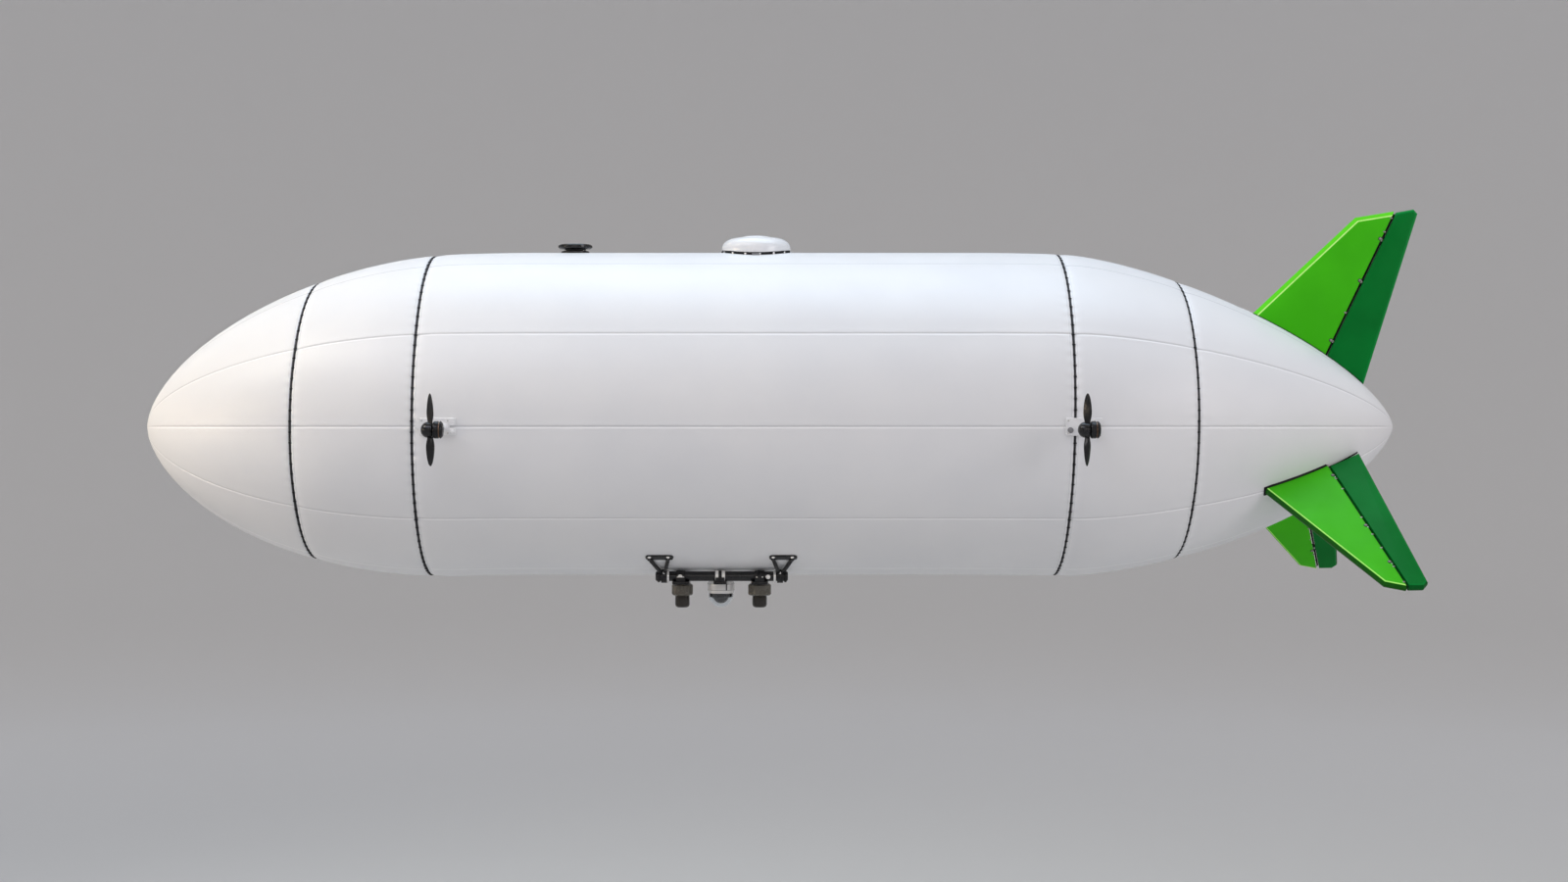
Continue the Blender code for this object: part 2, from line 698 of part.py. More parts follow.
def add_tube(name, side, material):
    middle = (TUBE_X[0] + TUBE_X[1]) / 2
    mesh = rod(name, TUBE_RADIUS, TUBE_X[1] - TUBE_X[0], TUBE_SIDES)
    smooth(add_piece(name, mesh, material, tube_frame(middle, side)))


def add_bracket(name, end, side, material, seat):
    """A plate on the envelope, two struts and the collar round the tube."""
    length, width, thickness = BRACKET_PLATE
    depth = thickness + BRACKET_UNDERCUT
    on_hull = hull_frame(BRACKET_PLATE_X[end], side, BRACKET_DROP)
    bracket = add_piece(
        name, box(name, (length, width, depth)), material, on_hull @ shift(0, 0, thickness - depth / 2)
    )
    group = helper_group(name + "_struts")
    collar = rod("collar", COLLAR_RADIUS, COLLAR_WIDTH, TUBE_SIDES)
    at_collar = tube_frame(COLLAR_X[end], side)
    add_helper(name + "_collar", collar, at_collar, group)
    for number, x in enumerate(STRUT_FOOT_X[end], 1):
        foot = hull_frame(x, side, BRACKET_DROP + STRUT_FOOT_TURN, STRUT_FOOT_RISE).translation
        strut = between(foot, at_collar.translation)
        strut_length = (foot - at_collar.translation).length
        add_helper(f"{name}_strut_{number}", rod("strut", STRUT_RADIUS, strut_length, STRUT_SIDES), strut, group)
    boolean(bracket, "UNION", group)
    boolean(bracket, "DIFFERENCE", seat)
    boolean(bracket, "DIFFERENCE", tube_room(name + "_room", COLLAR_X[end], side, 3 * COLLAR_WIDTH))


def add_cross_plate(name, end, material):
    """A flat bar under both tubes, with a saddle round each."""
    x = CROSS_PLATE_X[end]
    span = 2 * (TUBE_Y + CROSS_PLATE_OVERHANG)
    top = RIG_BOTTOM + CROSS_PLATE_THICKNESS
    mesh = box(name, (CROSS_PLATE_WIDTH[end], span, CROSS_PLATE_THICKNESS))
    plate = add_piece(name, mesh, material, shift(x, 0, RIG_BOTTOM + CROSS_PLATE_THICKNESS / 2))
    group = helper_group(name + "_saddles")
    low, high = top - SADDLE_BITE, TUBE_Z + SADDLE_TOP
    saddle = box("saddle", (*SADDLE_SIZE, high - low))
    for side in SIDES.values():
        add_helper(f"{name}_saddle_{side}", saddle, shift(x, side * TUBE_Y, (low + high) / 2), group)
    boolean(plate, "UNION", group)
    for side in SIDES.values():
        boolean(plate, "DIFFERENCE", tube_room(f"{name}_room_{side}", x, side, 3 * SADDLE_SIZE[0]))


def add_pod(name, end, material):
    """A many-sided body with a narrower lens barrel below it."""
    radius, sides = POD_RADIUS[end], POD_SIDES[end]
    top = RIG_BOTTOM - SEAT
    profile = [
        (0.0, top),
        (radius - POD_CHAMFER, top),
        (radius, top - POD_CHAMFER),
        (radius, POD_STEP + POD_CHAMFER),
        (radius - POD_CHAMFER, POD_STEP),
        (LENS_RADIUS, POD_STEP),
    ]
    round_centre = (LENS_RADIUS - LENS_ROUND, POD_BOTTOM + LENS_ROUND)
    profile += arc(round_centre, LENS_ROUND, 0, -90, LENS_ROUND_STEPS) + [(0.0, POD_BOTTOM)]
    flat_to_the_side = Matrix.Rotation(math.pi / sides, 4, "Z")
    add_turned(name, profile, material, sides, shift(CROSS_PLATE_X[end], 0, 0) @ flat_to_the_side)


def add_rig(materials, cutters):
    for side_name, side in SIDES.items():
        add_tube(side_name + "_rig_tube", side, materials["black"])
        for end in BRACKET_PLATE_X:
            add_bracket(f"{end}_{side_name}_bracket", end, side, materials["black"], cutters["seat"])
    for end in CROSS_PLATE_X:
        add_cross_plate(end + "_cross_plate", end, materials["black"])
    for end in POD_RADIUS:
        add_pod(end + "_sensor_pod", end, materials["grey"])


# Dome camera: modelled about the ball's centre, where its pan and tilt axes cross


def add_housing(name, place, material):
    top = RIG_BOTTOM - SEAT - BALL_CENTRE
    bottom = CAMERA_BOTTOM - BALL_CENTRE
    inner = CAMERA_RADIUS - CAMERA_WALL
    profile = [
        (0.0, top),
        (CAMERA_RADIUS - CAMERA_CHAMFER, top),
        (CAMERA_RADIUS, top - CAMERA_CHAMFER),
        (CAMERA_RADIUS, bottom),
        (inner, bottom),
        (inner, top - CAMERA_ROOF),
        (0.0, top - CAMERA_ROOF),
    ]
    add_turned(name, profile, material, CAMERA_SIDES, place)


def add_window(name, place, material):
    """The clear dome. Its rim reaches up inside the housing."""
    centre = WINDOW_CENTRE - BALL_CENTRE
    rim = CAMERA_BOTTOM + WINDOW_RIM - BALL_CENTRE
    bowl = arc((0, centre), WINDOW_RADIUS, 0, -90, WINDOW_STEPS)
    profile = [(WINDOW_RADIUS, rim)] + bowl[:-1] + [(0.0, centre - WINDOW_RADIUS)]
    window = add_turned(name, profile, material, CAMERA_SIDES, place)
    wall = window.modifiers.new("wall", "SOLIDIFY")
    wall.thickness = WINDOW_WALL
    wall.offset = -1.0


def add_fork(name, place, material):
    """Turns under the housing's roof and holds the ball between its two arms."""
    low, high = FORK_LEVELS
    roof = RIG_BOTTOM - SEAT - CAMERA_ROOF - SEAT - BALL_CENTRE
    post = rod(name, FORK_POST_RADIUS, roof - low, 16)
    post.transform(shift(0, 0, (roof + low) / 2))
    fork = add_piece(name, post, material, place)
    group = helper_group(name + "_parts")
    disc = rod("disc", FORK_RADIUS, high - low, CAMERA_SIDES)
    add_helper(name + "_disc", disc, place @ shift(0, 0, (low + high) / 2), group)
    width, thickness = FORK_ARM
    arm = box("arm", (width, thickness, high - FORK_ARM_BOTTOM))
    arm_y = BALL_RADIUS + FORK_GAP + thickness / 2
    for side in SIDES.values():
        middle = place @ shift(0, side * arm_y, (high + FORK_ARM_BOTTOM) / 2)
        add_helper(f"{name}_arm_{side}", arm, middle, group)
    boolean(fork, "UNION", group)
    room = rod("room", TRUNNION_RADIUS + PIN_CLEARANCE, 4 * BALL_RADIUS, 12)
    boolean(fork, "DIFFERENCE", add_helper(name + "_room", room, place @ ALONG_Y))


def add_ball(name, place, material):
    """The camera itself, looking forwards, with a trunnion at each side."""
    bm = bmesh.new()
    segments, rings = BALL_SEGMENTS
    bmesh.ops.create_uvsphere(bm, u_segments=segments, v_segments=rings, radius=BALL_RADIUS)
    ball = add_piece(name, finish_mesh(bm, name), material, place)
    group = helper_group(name + "_parts")
    trunnion = rod("trunnion", TRUNNION_RADIUS, 2 * (BALL_RADIUS + TRUNNION_REACH), 12)
    add_helper(name + "_trunnion", trunnion, place @ ALONG_Y, group)
    barrel = rod("barrel", BARREL_RADIUS, BARREL_LENGTH, 16)
    add_helper(name + "_barrel", barrel, place @ shift(-BARREL_LENGTH / 2, 0, 0) @ ALONG_X, group)
    boolean(ball, "UNION", group)


def add_camera(materials):
    place = shift(CROSS_PLATE_X["centre"], 0, BALL_CENTRE)
    add_housing("camera_housing", place, materials["silver"])
    add_window("camera_window", place, materials["glass"])
    add_fork("camera_yoke", place, materials["black"])
    add_ball("camera_ball", place, materials["black"])


# Antennas: modelled about the envelope's crest


def crest(x):
    return shift(x, 0, hull_centre(x) + hull_radius(x))


def add_dome(materials, cutters):
    """A white dome on a black gasket, both cut to the envelope's curve."""
    place = crest(DOME_X)
    disc = [(0.0, DOME_TOP), (GASKET_RADIUS, DOME_TOP), (GASKET_RADIUS, -UNDERCUT), (0.0, -UNDERCUT)]
    gasket = add_turned("antenna_dome_base", disc, materials["black"], ANTENNA_SIDES, place)
    boolean(gasket, "INTERSECT", cutters["gasket_top"])
    boolean(gasket, "DIFFERENCE", cutters["seat"])

    inner_cap, outer_cap = CAP_RADII
    profile = [(0.0, DOME_TOP), (inner_cap, DOME_TOP - CAP_EDGE), (outer_cap, DOME_FLAT + CAP_EDGE)]
    profile += [(outer_cap, DOME_FLAT)]
    width, height = DOME_RADIUS - DOME_FLAT_RADIUS, DOME_FLAT - DOME_SHOULDER
    for out, up in arc((0, 0), 1, 90, 0, DOME_SHOULDER_STEPS):
        profile.append((DOME_FLAT_RADIUS + width * out, DOME_SHOULDER + height * up))
    profile += [(DOME_RADIUS, -UNDERCUT), (0.0, -UNDERCUT)]
    dome = add_turned("antenna_dome", profile, materials["white"], ANTENNA_SIDES, place)
    boolean(dome, "DIFFERENCE", cutters["dome"])


def add_disc_antenna(materials, cutters):
    flange, neck, top = DISC_LEVELS
    profile = [
        (0.0, top),
        (DISC_RADIUS - DISC_CHAMFER, top),
        (DISC_RADIUS, top - DISC_CHAMFER),
        (DISC_RADIUS, neck + DISC_CHAMFER),
        (DISC_RADIUS - DISC_CHAMFER, neck),
        (NECK_RADIUS, neck),
        (NECK_RADIUS, flange),
        (FLANGE_RADIUS, flange),
        (FLANGE_RADIUS, -UNDERCUT),
        (0.0, -UNDERCUT),
    ]
    disc = add_turned("disc_antenna", profile, materials["black"], DISC_SIDES, crest(DISC_X))
    boolean(disc, "DIFFERENCE", cutters["seat"])


def main():
    clear_scene()
    scene = bpy.context.scene.collection
    add_collection("airship", scene)
    add_collection("helpers", scene, hidden=True)
    materials = make_materials()
    add_envelope(materials)
    cutters = {
        "seat": hull_solid("hull_seat", SEAT),
        "rudder": hull_solid("hull_rudder_clearance", RUDDER_CLEARANCE),
        "gasket_top": hull_solid("hull_gasket_top", GASKET),
        "dome": hull_solid("hull_dome_seat", GASKET + SEAT),
    }
    add_tail(materials, cutters)
    add_propulsion(materials, cutters)
    add_rig(materials, cutters)
    add_camera(materials)
    add_dome(materials, cutters)
    add_disc_antenna(materials, cutters)


main()
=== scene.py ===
import json
from math import asin, copysign, cos, exp, hypot, pi, radians, sin, sqrt

import bmesh
import bpy
from mathutils import Matrix, Vector


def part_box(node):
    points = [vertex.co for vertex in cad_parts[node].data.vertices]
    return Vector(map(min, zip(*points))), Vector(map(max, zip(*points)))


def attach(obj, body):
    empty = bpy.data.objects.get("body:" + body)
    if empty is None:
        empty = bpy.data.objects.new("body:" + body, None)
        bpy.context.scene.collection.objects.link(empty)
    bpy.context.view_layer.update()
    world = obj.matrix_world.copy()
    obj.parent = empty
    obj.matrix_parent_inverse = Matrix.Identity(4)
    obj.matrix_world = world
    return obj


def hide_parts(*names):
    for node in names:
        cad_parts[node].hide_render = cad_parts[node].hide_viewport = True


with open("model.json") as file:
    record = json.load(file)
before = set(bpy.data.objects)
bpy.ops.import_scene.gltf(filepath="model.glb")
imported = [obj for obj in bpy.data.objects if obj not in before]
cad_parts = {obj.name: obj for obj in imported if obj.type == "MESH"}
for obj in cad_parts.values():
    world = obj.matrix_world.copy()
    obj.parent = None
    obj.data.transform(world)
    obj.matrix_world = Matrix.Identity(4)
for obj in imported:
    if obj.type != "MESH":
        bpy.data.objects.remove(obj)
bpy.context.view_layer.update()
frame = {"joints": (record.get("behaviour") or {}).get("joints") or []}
JOINTS = {joint["name"]: joint for joint in frame["joints"]}
TINY = 1e-7

# Envelope: the same outer shape as the frame's sections
HALF_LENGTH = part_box("tail_cone")[1].x
HULL_RADIUS = 0.826
HULL_LIFT = 0.067
NOSE = (1.617, 1.90, 1.65, 2.02)  # length, the curve's two powers and the run of the lift
TAIL = (1.718, 1.50, 1.50, 2.17)
WALL = 0.010
SECTIONS = ("nose_cone", "front_section", "centre_section", "rear_section", "tail_cone")
SEAM_X = [sum(corner.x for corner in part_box(f"seam_band_{i}")) / 2 for i in range(1, 5)]
SEAM_SWAY = ((-0.019, -0.014, 0.0), (-0.005, -0.0165, 0.0), (0.006, -0.015, 0.007), (0.0135, -0.006, 0.0))
SWAY_RUN = 0.5  # each laced seam's sway along X (at the sides, underneath, all round) fades out over this
BAND_HALF = 0.0049
BAND_SIDES = 160
BAND_PROFILE = ((-1, -0.014), (-1, -0.0075), (-0.8, -0.0052), (-0.35, -0.0042))  # half of it, symmetric
RIM_OVERLAP = 0.0016  # how far the fabric reaches over the band

# Fabric details
GORE_ANGLES = (-70, -35, 0, 32, 67.5)  # lengthwise seams of the left side, in degrees
GORE_COLUMNS = 34  # between two seams
SEAM_STEPS = (0.0, 0.0025, 0.0055, 0.011)  # columns beside a seam, as distances from it
SEAM_SHADES = ((0.2, 1.0, 0.6, 0.0), (0.2, -1.0, -0.8, 0.0))  # above and below it: painted shade, or painted highlight below 0
SEAM_DEPTH = 0.0020
SEAM_HALF = 0.0055
BILLOW = 0.004  # how far a panel stands out between its seams
BILLOW_POWER = 0.7
FULL_BILLOW_RADIUS = 0.3  # where the envelope is slimmer, the panels stand out less
RIM_STEPS = (0.0, 0.0012, 0.0035, 0.007, 0.0100, 0.0112, 0.0122, 0.0140, 0.020, 0.032, 0.050, 0.080)
RIM_DROP = 0.0042
RIM_DROP_RUN = 0.0022
RIM_TUCK = {"aft": (0.0078, 0.030), "forward": (0.0032, 0.024)}  # depth and run on each side of a band
RIM_HIGHLIGHT = 0.9  # a painted highlight on the strip aft of each band
RIM_BRIGHT_RUN = 0.022
HEM_WIDTH = 0.0117
HEM_HEIGHT = 0.0009
ROW_SPACING = 0.055
TIP_CROWDING = 1.9  # rows lie closer together towards the tips
TIP_MARGIN = 1e-4
LACE_PITCH = 0.054
PUCKER = 0.0012  # how deep each lace draws the rim in
PUCKER_RUN = 0.022
INNER_STEP = 8  # the inner face has one ring of points for this many outside

# Tail fins, in the fin's own plane as in the frame's source: x and distance out
FIN_EDGES = {
    "upper": {
        "leading": ((2.478, 0.5735), (3.017, 1.078)),
        "hinge": ((2.859, 0.355), (3.2225, 1.107)),
        "trailing": ((3.060, 0.2274), (3.345, 1.126)),
    },
    "lower": {
        "leading": ((2.460, 0.635), (2.928, 1.2755)),
        "hinge": ((2.793, 0.436), (3.039, 1.302)),
        "trailing": ((2.964, 0.335), (3.145, 1.298)),
    },
}
LOWER_FIN_TURN = 90 + 42.5
LOWER_FIN_ROOT_HEIGHT = 0.105
FIN_HALF = 0.0208  # half of the thickness
FIN_EDGE_HALF = 0.0105
BEVEL = {"upper": 0.022, "lower": 0.0105}
RUDDER_BEVEL = 0.0105
FIN_EDGE_LIGHT = {"upper": (0.48, 1.0), "lower": (-1.0, 0.9)}  # painted light of the sloping edge and of the highlight line inside it; below 0 is painted shade
# the same painted light and shade on the rudders' edges
RUDDER_EDGE_LIGHT = {"upper": (0.35, 0.20), "lower": (-0.50, 0.15)}
FIN_GAP = 0.008
RUDDER_GAP = 0.006
RUDDER_SWING = 22
RUDDER_CLEARANCE = 0.0085
TIP_CORNER = 0.030
SEAL_RADIUS = 0.0072
SHADE_STRIP_RADIUS = 0.0050
HINGE_SHARES = (0.112, 0.521, 0.808)
CLIP_SHARES = {
    "upper": (0.304, 0.858, 0.953),
    "lower": (0.03, 0.142, 0.225, 0.458, 0.593, 0.70, 0.846, 0.965),
}
ROOT_SEARCH = (-0.6, 0.6)  # the shares of an edge's length between which its root is searched
ROOT_HALVINGS = 18
KNUCKLE_STEP = 0.0145
BOSS_SETBACK = 0.0135
CLIP_SETBACK = 0.0095
PATCH_X = 2.470

# Propulsion
MOUNT_DROP = 4.1
ARM_LENGTH = 0.200
ARM_X = 0.039
MOTOR_RADIUS = 0.0415
MOTOR_FRONT = 0.014
MOTOR_REAR = 0.064
CRADLE_Z = -MOTOR_RADIUS - 0.0015
PROPELLER_RADIUS = 0.1735
SPINNER_RADIUS = 0.038
BLADE_PITCH = (radians(56), radians(38))  # at the root and at the tip
BLADE_THICKNESS = (0.20, 0.10)
BLADE_CHORD = 0.048
BLADE_ROOT_CHORD = 0.030
BLADE_WIDEST = 0.35
BLADE_TIP_POWER = 2.2
BLADE_BLUNTNESS = 0.35  # how much thicker the leading edge is
BLADE_CAMBER = 0.05
BLADE_SIDES = 28

# Sensor rig
TUBE_LOW, TUBE_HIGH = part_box("left_rig_tube")
TUBE_RADIUS = (TUBE_HIGH.z - TUBE_LOW.z) / 2
TUBE_X, TUBE_Y, TUBE_Z = ((a + b) / 2 for a, b in zip(TUBE_LOW, TUBE_HIGH))
BRACKET_DROP = 60
BRACKET_PLATE_X = {"front": -0.555, "rear": 0.063}
STRUT_FEET = {"front": (-0.050, 0.043), "rear": (-0.050, 0.045)}  # aft of the plate's middle
STRUT_LEVEL = 0.008
COLLAR_X = {"front": -0.537, "rear": 0.0485}
SHAFT_RING_X = {"front": -0.5175, "rear": 0.0215}
SADDLE_FOOT_Y = 0.0325
CROSS_PLATE_THICKNESS = 0.014
POD_SIDES = {"front": 12, "rear": 8}
POD_STEP_Z = -0.869
GLASS_WALL = 0.0022
BALL = Vector(JOINTS["camera_tilt"]["pos_m"])

# Photograph: 1600 by 900 pixels, the nose to tail line at row 435.5
PHOTO_SIZE = (1600, 900)
CAMERA_DISTANCE = 12.79
CAMERA_X = -0.0455
FOCAL_PIXELS = 2530
PRINCIPAL_POINT = (777, 435.5)
SENSOR_WIDTH = 36.0

# Studio
FLOOR_LEVEL = -3.2
FLOOR_FADE = (5.0, 16.0)  # between these radii the floor takes on the wall's colour
STAGE_FLAT = 30.0
STAGE_BEND = 22.0
STAGE_TOP = 50.0
STAGE_STEPS = 24
FLOOR_COLOUR = (0.63, 0.63, 0.63)
WALL_COLOUR = (0.80, 0.835, 0.89)
WORLD_COLOUR = (1.0, 0.90, 0.80)
WORLD_STRENGTH = 0.58
LIGHTS = {  # place, target, size, power, colour and spread in degrees
    "key_light": ((-4.5, -7.5, 7.0), (0, 0, 0), (6.0, 4.0), 228, (0.78, 0.82, 1.0), 180),
    "top_light": ((0.5, 0.8, 8.0), (0, 0, 0), (10.0, 5.0), 456, (0.58, 0.785, 1.0), 180),
    "side_light": ((0.0, -13.0, 2.5), (0, 0, 0), (8.0, 3.0), 90, (1.0, 0.94, 0.87), 180),
    "tail_light": ((8.5, -6.0, 2.0), (2.5, 0, 0), (4.0, 4.0), 185, (1.0, 0.95, 0.98), 180),
    "bow_light": ((-8.5, -3.0, 6.0), (-2.8, 0, 0.4), (3.0, 3.0), 41, (1.0, 0.94, 0.80), 60),
    "nose_light": ((-10.5, -2.6, 0.4), (-3.1, 0, 0), (1.5, 1.5), 5.0, (1.0, 0.80, 0.58), 25),
}

# The looks by name, and the record's slot of each look that isn't named after one
LOOKS = {}
SLOT_OF = dict.fromkeys(("black_rubber", "bronze", "lens_glass", "grey_plug"))
SLOT_OF |= {"envelope_fabric": "envelope", "lacing_cord": "lacing", "lacing_band": "lacing"}
SLOT_OF |= {"pale_metal": "silver", "pewter": "silver"}
SLOT_OF |= {"pod_barrel": "propeller_black", "clear_dome": "window_glass"}


# Places


def shift(x, y, z):
    return Matrix.Translation((x, y, z))


def spin(degrees, axis):
    return Matrix.Rotation(radians(degrees), 4, axis)


def facing(spot, out, side):
    """A frame at spot with Z along out and X along side."""
    return Matrix.Translation(spot) @ Matrix((side, out.cross(side), out)).transposed().to_4x4()


def aimed(direction):
    """A turn that carries Z to that direction."""
    return direction.to_track_quat("Z", "Y").to_matrix().to_4x4()


def to_left(drop):
    """The direction to the left and below level by that many degrees."""
    return Vector((0, -cos(radians(drop)), -sin(radians(drop))))


ALONG_X = spin(90, "Y")
ALONG_Y = spin(-90, "X")
AGAINST_Y = spin(90, "X")
MIRROR = Matrix.Diagonal((1, -1, 1, 1))
AFT = Vector((1, 0, 0))


# Shapes: each is a list of points and a list of faces


def flipped(shape):
    return shape[0], [face[::-1] for face in shape[1]]


def placed(shape, matrix):
    if matrix.determinant() < 0:
        shape = flipped(shape)
    return [matrix @ point for point in shape[0]], shape[1]


def moved(shape, x, y, z):
    return placed(shape, shift(x, y, z))


def joined(*shapes):
    points, faces = [], []
    for more_points, more_faces in shapes:
        start = len(points)
        points += more_points
        faces += [tuple(i + start for i in face) for face in more_faces]
    return points, faces


def copies(shape, places):
    return joined(*(placed(shape, place) for place in places))


def from_bmesh(bm):
    bm.verts.index_update()
    points = [vert.co.copy() for vert in bm.verts]
    faces = [tuple(vert.index for vert in face.verts) for face in bm.faces]
    bm.free()
    return points, faces


def loft(rings, closed_ends=False, endless=False):
    """A skin over rings of equally many points. A ring of one point is a tip."""
    points, faces, starts = [], [], []
    for ring in rings:
        starts.append(len(points))
        points += ring
    pairs = list(zip(range(len(rings) - 1), range(1, len(rings))))
    if endless:
        pairs.append((len(rings) - 1, 0))
    for first, second in pairs:
        a, b = starts[first], starts[second]
        m, n = len(rings[first]), len(rings[second])
        count = max(m, n)
        for i in range(count if count > 1 else 0):
            j = (i + 1) % count
            corners = (a + i % m, a + j % m, b + j % n, b + i % n)
            faces.append(tuple(dict.fromkeys(corners)))
    if closed_ends:
        faces.append(tuple(range(starts[0], starts[0] + len(rings[0])))[::-1])
        faces.append(tuple(range(starts[-1], starts[-1] + len(rings[-1]))))
    return points, faces


def turns(count, offset=0):
    """Angles evenly round a circle."""
    return [2 * pi * (i + offset) / count for i in range(count)]


def arc(steps):
    """Angles evenly over a quarter of a circle, both ends included."""
    return [pi / 2 * i / steps for i in range(steps + 1)]


def polar(radius, turn):
    return radius * cos(turn), radius * sin(turn)


def circle(radius, height, sides):
    """A ring of points round the Z axis, or the one point on it."""
    if radius < TINY:
        return [Vector((0, 0, height))]
    return [Vector((*polar(radius, t), height)) for t in turns(sides)]


def softened(corners, radius, closed=False, steps=3):
    """The polyline with each corner rounded off. Points are tuples of two or three numbers."""
    count = len(corners)
    result = []
    for i, corner in enumerate(corners):
        if not closed and i in (0, count - 1):
            result.append(tuple(corner))
            continue
        here = Vector(corner)
        back, ahead = Vector(corners[i - 1]) - here, Vector(corners[(i + 1) % count]) - here
        a = here + back.normalized() * min(radius, back.length * 0.48)
        b = here + ahead.normalized() * min(radius, ahead.length * 0.48)
        for k in range(steps + 1):
            t = k / steps
            result.append(tuple(a * (1 - t) ** 2 + here * 2 * t * (1 - t) + b * t * t))
    return result


def raised(profile, height):
    return [(radius, z + height) for radius, z in profile]


def turned(profile, sides=48, soft=0.0):
    """A solid of revolution about Z from (radius, height) points, top to bottom."""
    if soft:
        profile = softened(profile, soft)
    return loft([circle(radius, height, sides) for radius, height in reversed(profile)])


def hoop(profile, sides):
    """Like turned, for a profile that closes on itself."""
    return loft([circle(radius, height, sides) for radius, height in reversed(profile)], endless=True)


def rod(radius, length, soft=0.001, sides=24):
    """A cylinder along Z, centred on the origin, with rounded rims."""
    half = length / 2
    return turned([(0, half), (radius, half), (radius, -half), (0, -half)], sides, soft)


def ring(inner, outer, length, soft=0.001, sides=40):
    """A collar along Z, centred on the origin."""
    half = length / 2
    corners = [(inner, half), (outer, half), (outer, -half), (inner, -half)]
    return hoop(softened(corners, soft, closed=True), sides)


def ball(radius, sides=20):
    bm = bmesh.new()
    bmesh.ops.create_uvsphere(bm, u_segments=sides, v_segments=sides * 2 // 3, radius=radius)
    return from_bmesh(bm)


def block(size, soft=0.0015, segments=2):
    bm = bmesh.new()
    bmesh.ops.create_cube(bm, size=1.0)
    bmesh.ops.scale(bm, vec=size, verts=bm.verts)
    bmesh.ops.bevel(bm, geom=bm.edges[:], offset=soft, segments=segments, profile=0.5, affect="EDGES")
    return from_bmesh(bm)


def bar(start, end, radius, sides=20):
    start, end = Vector(start), Vector(end)
    place = Matrix.Translation((start + end) / 2) @ aimed(end - start)
    return placed(rod(radius, (end - start).length, 0.001, sides), place)


def pipe(path, radius, sides=10):
    """A round bead along a path of points."""
    rings = []
    side = None
    for i, point in enumerate(path):
        along = (path[min(i + 1, len(path) - 1)] - path[max(i - 1, 0)]).normalized()
        side = (side - along * side.dot(along)).normalized() if side else along.orthogonal().normalized()
        across = along.cross(side)
        rings.append([point + radius * (side * cos(t) + across * sin(t)) for t in turns(sides)])
    return loft(rings, closed_ends=True)


def inset(outline, amounts):
    """The outline with each side moved inwards by its own amount. It runs anticlockwise."""
    result = []
    count = len(outline)
    for i, (x, y) in enumerate(outline):
        before, after = outline[i - 1], outline[(i + 1) % count]
        a = Vector((x - before[0], y - before[1])).normalized()
        b = Vector((after[0] - x, after[1] - y)).normalized()
        first, second = amounts[i - 1], amounts[i]
        cross = a.x * b.y - a.y * b.x
        if abs(cross) < 1e-3:
            move = Vector((-a.y, a.x)) * (first + second) / 2
        else:
            move = (b * first - a * second) / cross
        result.append((x + move.x, y + move.y))
    return result


def flat_ring(outline, height):
    return [Vector((x, y, height)) for x, y in outline]


def slab(outline, thickness, soft=0.0015):
    """A flat piece centred on the XY plane, its rims rounded."""
    half = thickness / 2
    levels = [(soft, half), (soft * 0.3, half - soft * 0.3), (0.0, half - soft)]
    levels = [(depth, -height) for depth, height in levels] + levels[::-1]
    rings = [flat_ring(inset(outline, [depth] * len(outline)), height) for depth, height in levels]
    return loft(rings, closed_ends=True)


def rectangle(length, width, radius):
    x, y = length / 2, width / 2
    return softened([(-x, -y), (x, -y), (x, y), (-x, y)], radius, closed=True, steps=4)


def faceted(profile, sides, corner):
    """Like turned, but many-sided, with the upright edges rounded a little."""
    rings = []
    for radius, height in reversed(profile):
        if radius < TINY:
            rings.append([Vector((0, 0, height))])
            continue
        corners = [polar(radius, t) for t in turns(sides, 0.5)]
        rings.append(flat_ring(softened(corners, corner, closed=True, steps=2), height))
    return loft(rings)


def bolt(radius, height, sides=20):
    """A domed screw head on the XY plane, with its washer."""
    washer = moved(rod(radius * 1.35, height * 0.35, height * 0.1, sides), 0, 0, height * 0.17)
    dome = [(0, height), (radius * 0.55, height * 0.93), (radius * 0.9, height * 0.65)]
    dome += [(radius, height * 0.3), (0, height * 0.3)]
    return joined(washer, turned(dome, sides))


def socket_screw(radius, height, sides=20):
    """A cap screw's head on the XY plane, with the hexagon socket open."""
    socket = radius * 0.5
    profile = [(0, height * 0.5), (socket, height * 0.5), (socket, height)]
    profile += softened([(socket, height), (radius, height), (radius, 0)], radius * 0.2)[1:]
    return turned(profile + [(0, 0)], sides)


# Pieces


def make_object(name, shape, material, values=None, sharp=None):
    mesh = bpy.data.meshes.new(name)
    mesh.from_pydata(shape[0], [], shape[1])
    for key, numbers in (values or {}).items():
        mesh.attributes.new(key, "FLOAT", "POINT").data.foreach_set("value", numbers)
    mesh.shade_smooth()
    if sharp:
        mesh.set_sharp_from_angle(angle=radians(sharp))
    mesh.materials.append(material)
    obj = bpy.data.objects.new(name, mesh)
    bpy.context.scene.collection.objects.link(obj)
    return obj


def add(name, shape, look, node=None, body="airframe", slot="", sharp=35, values=None):
    """A piece that rides on a body, in place of a CAD node where it names one."""
    obj = make_object(name, shape, LOOKS[look], values, sharp)
    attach(obj, body)
    if slot == "":
        slot = SLOT_OF.get(look, look)
    if node:
        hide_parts(node)


# Materials


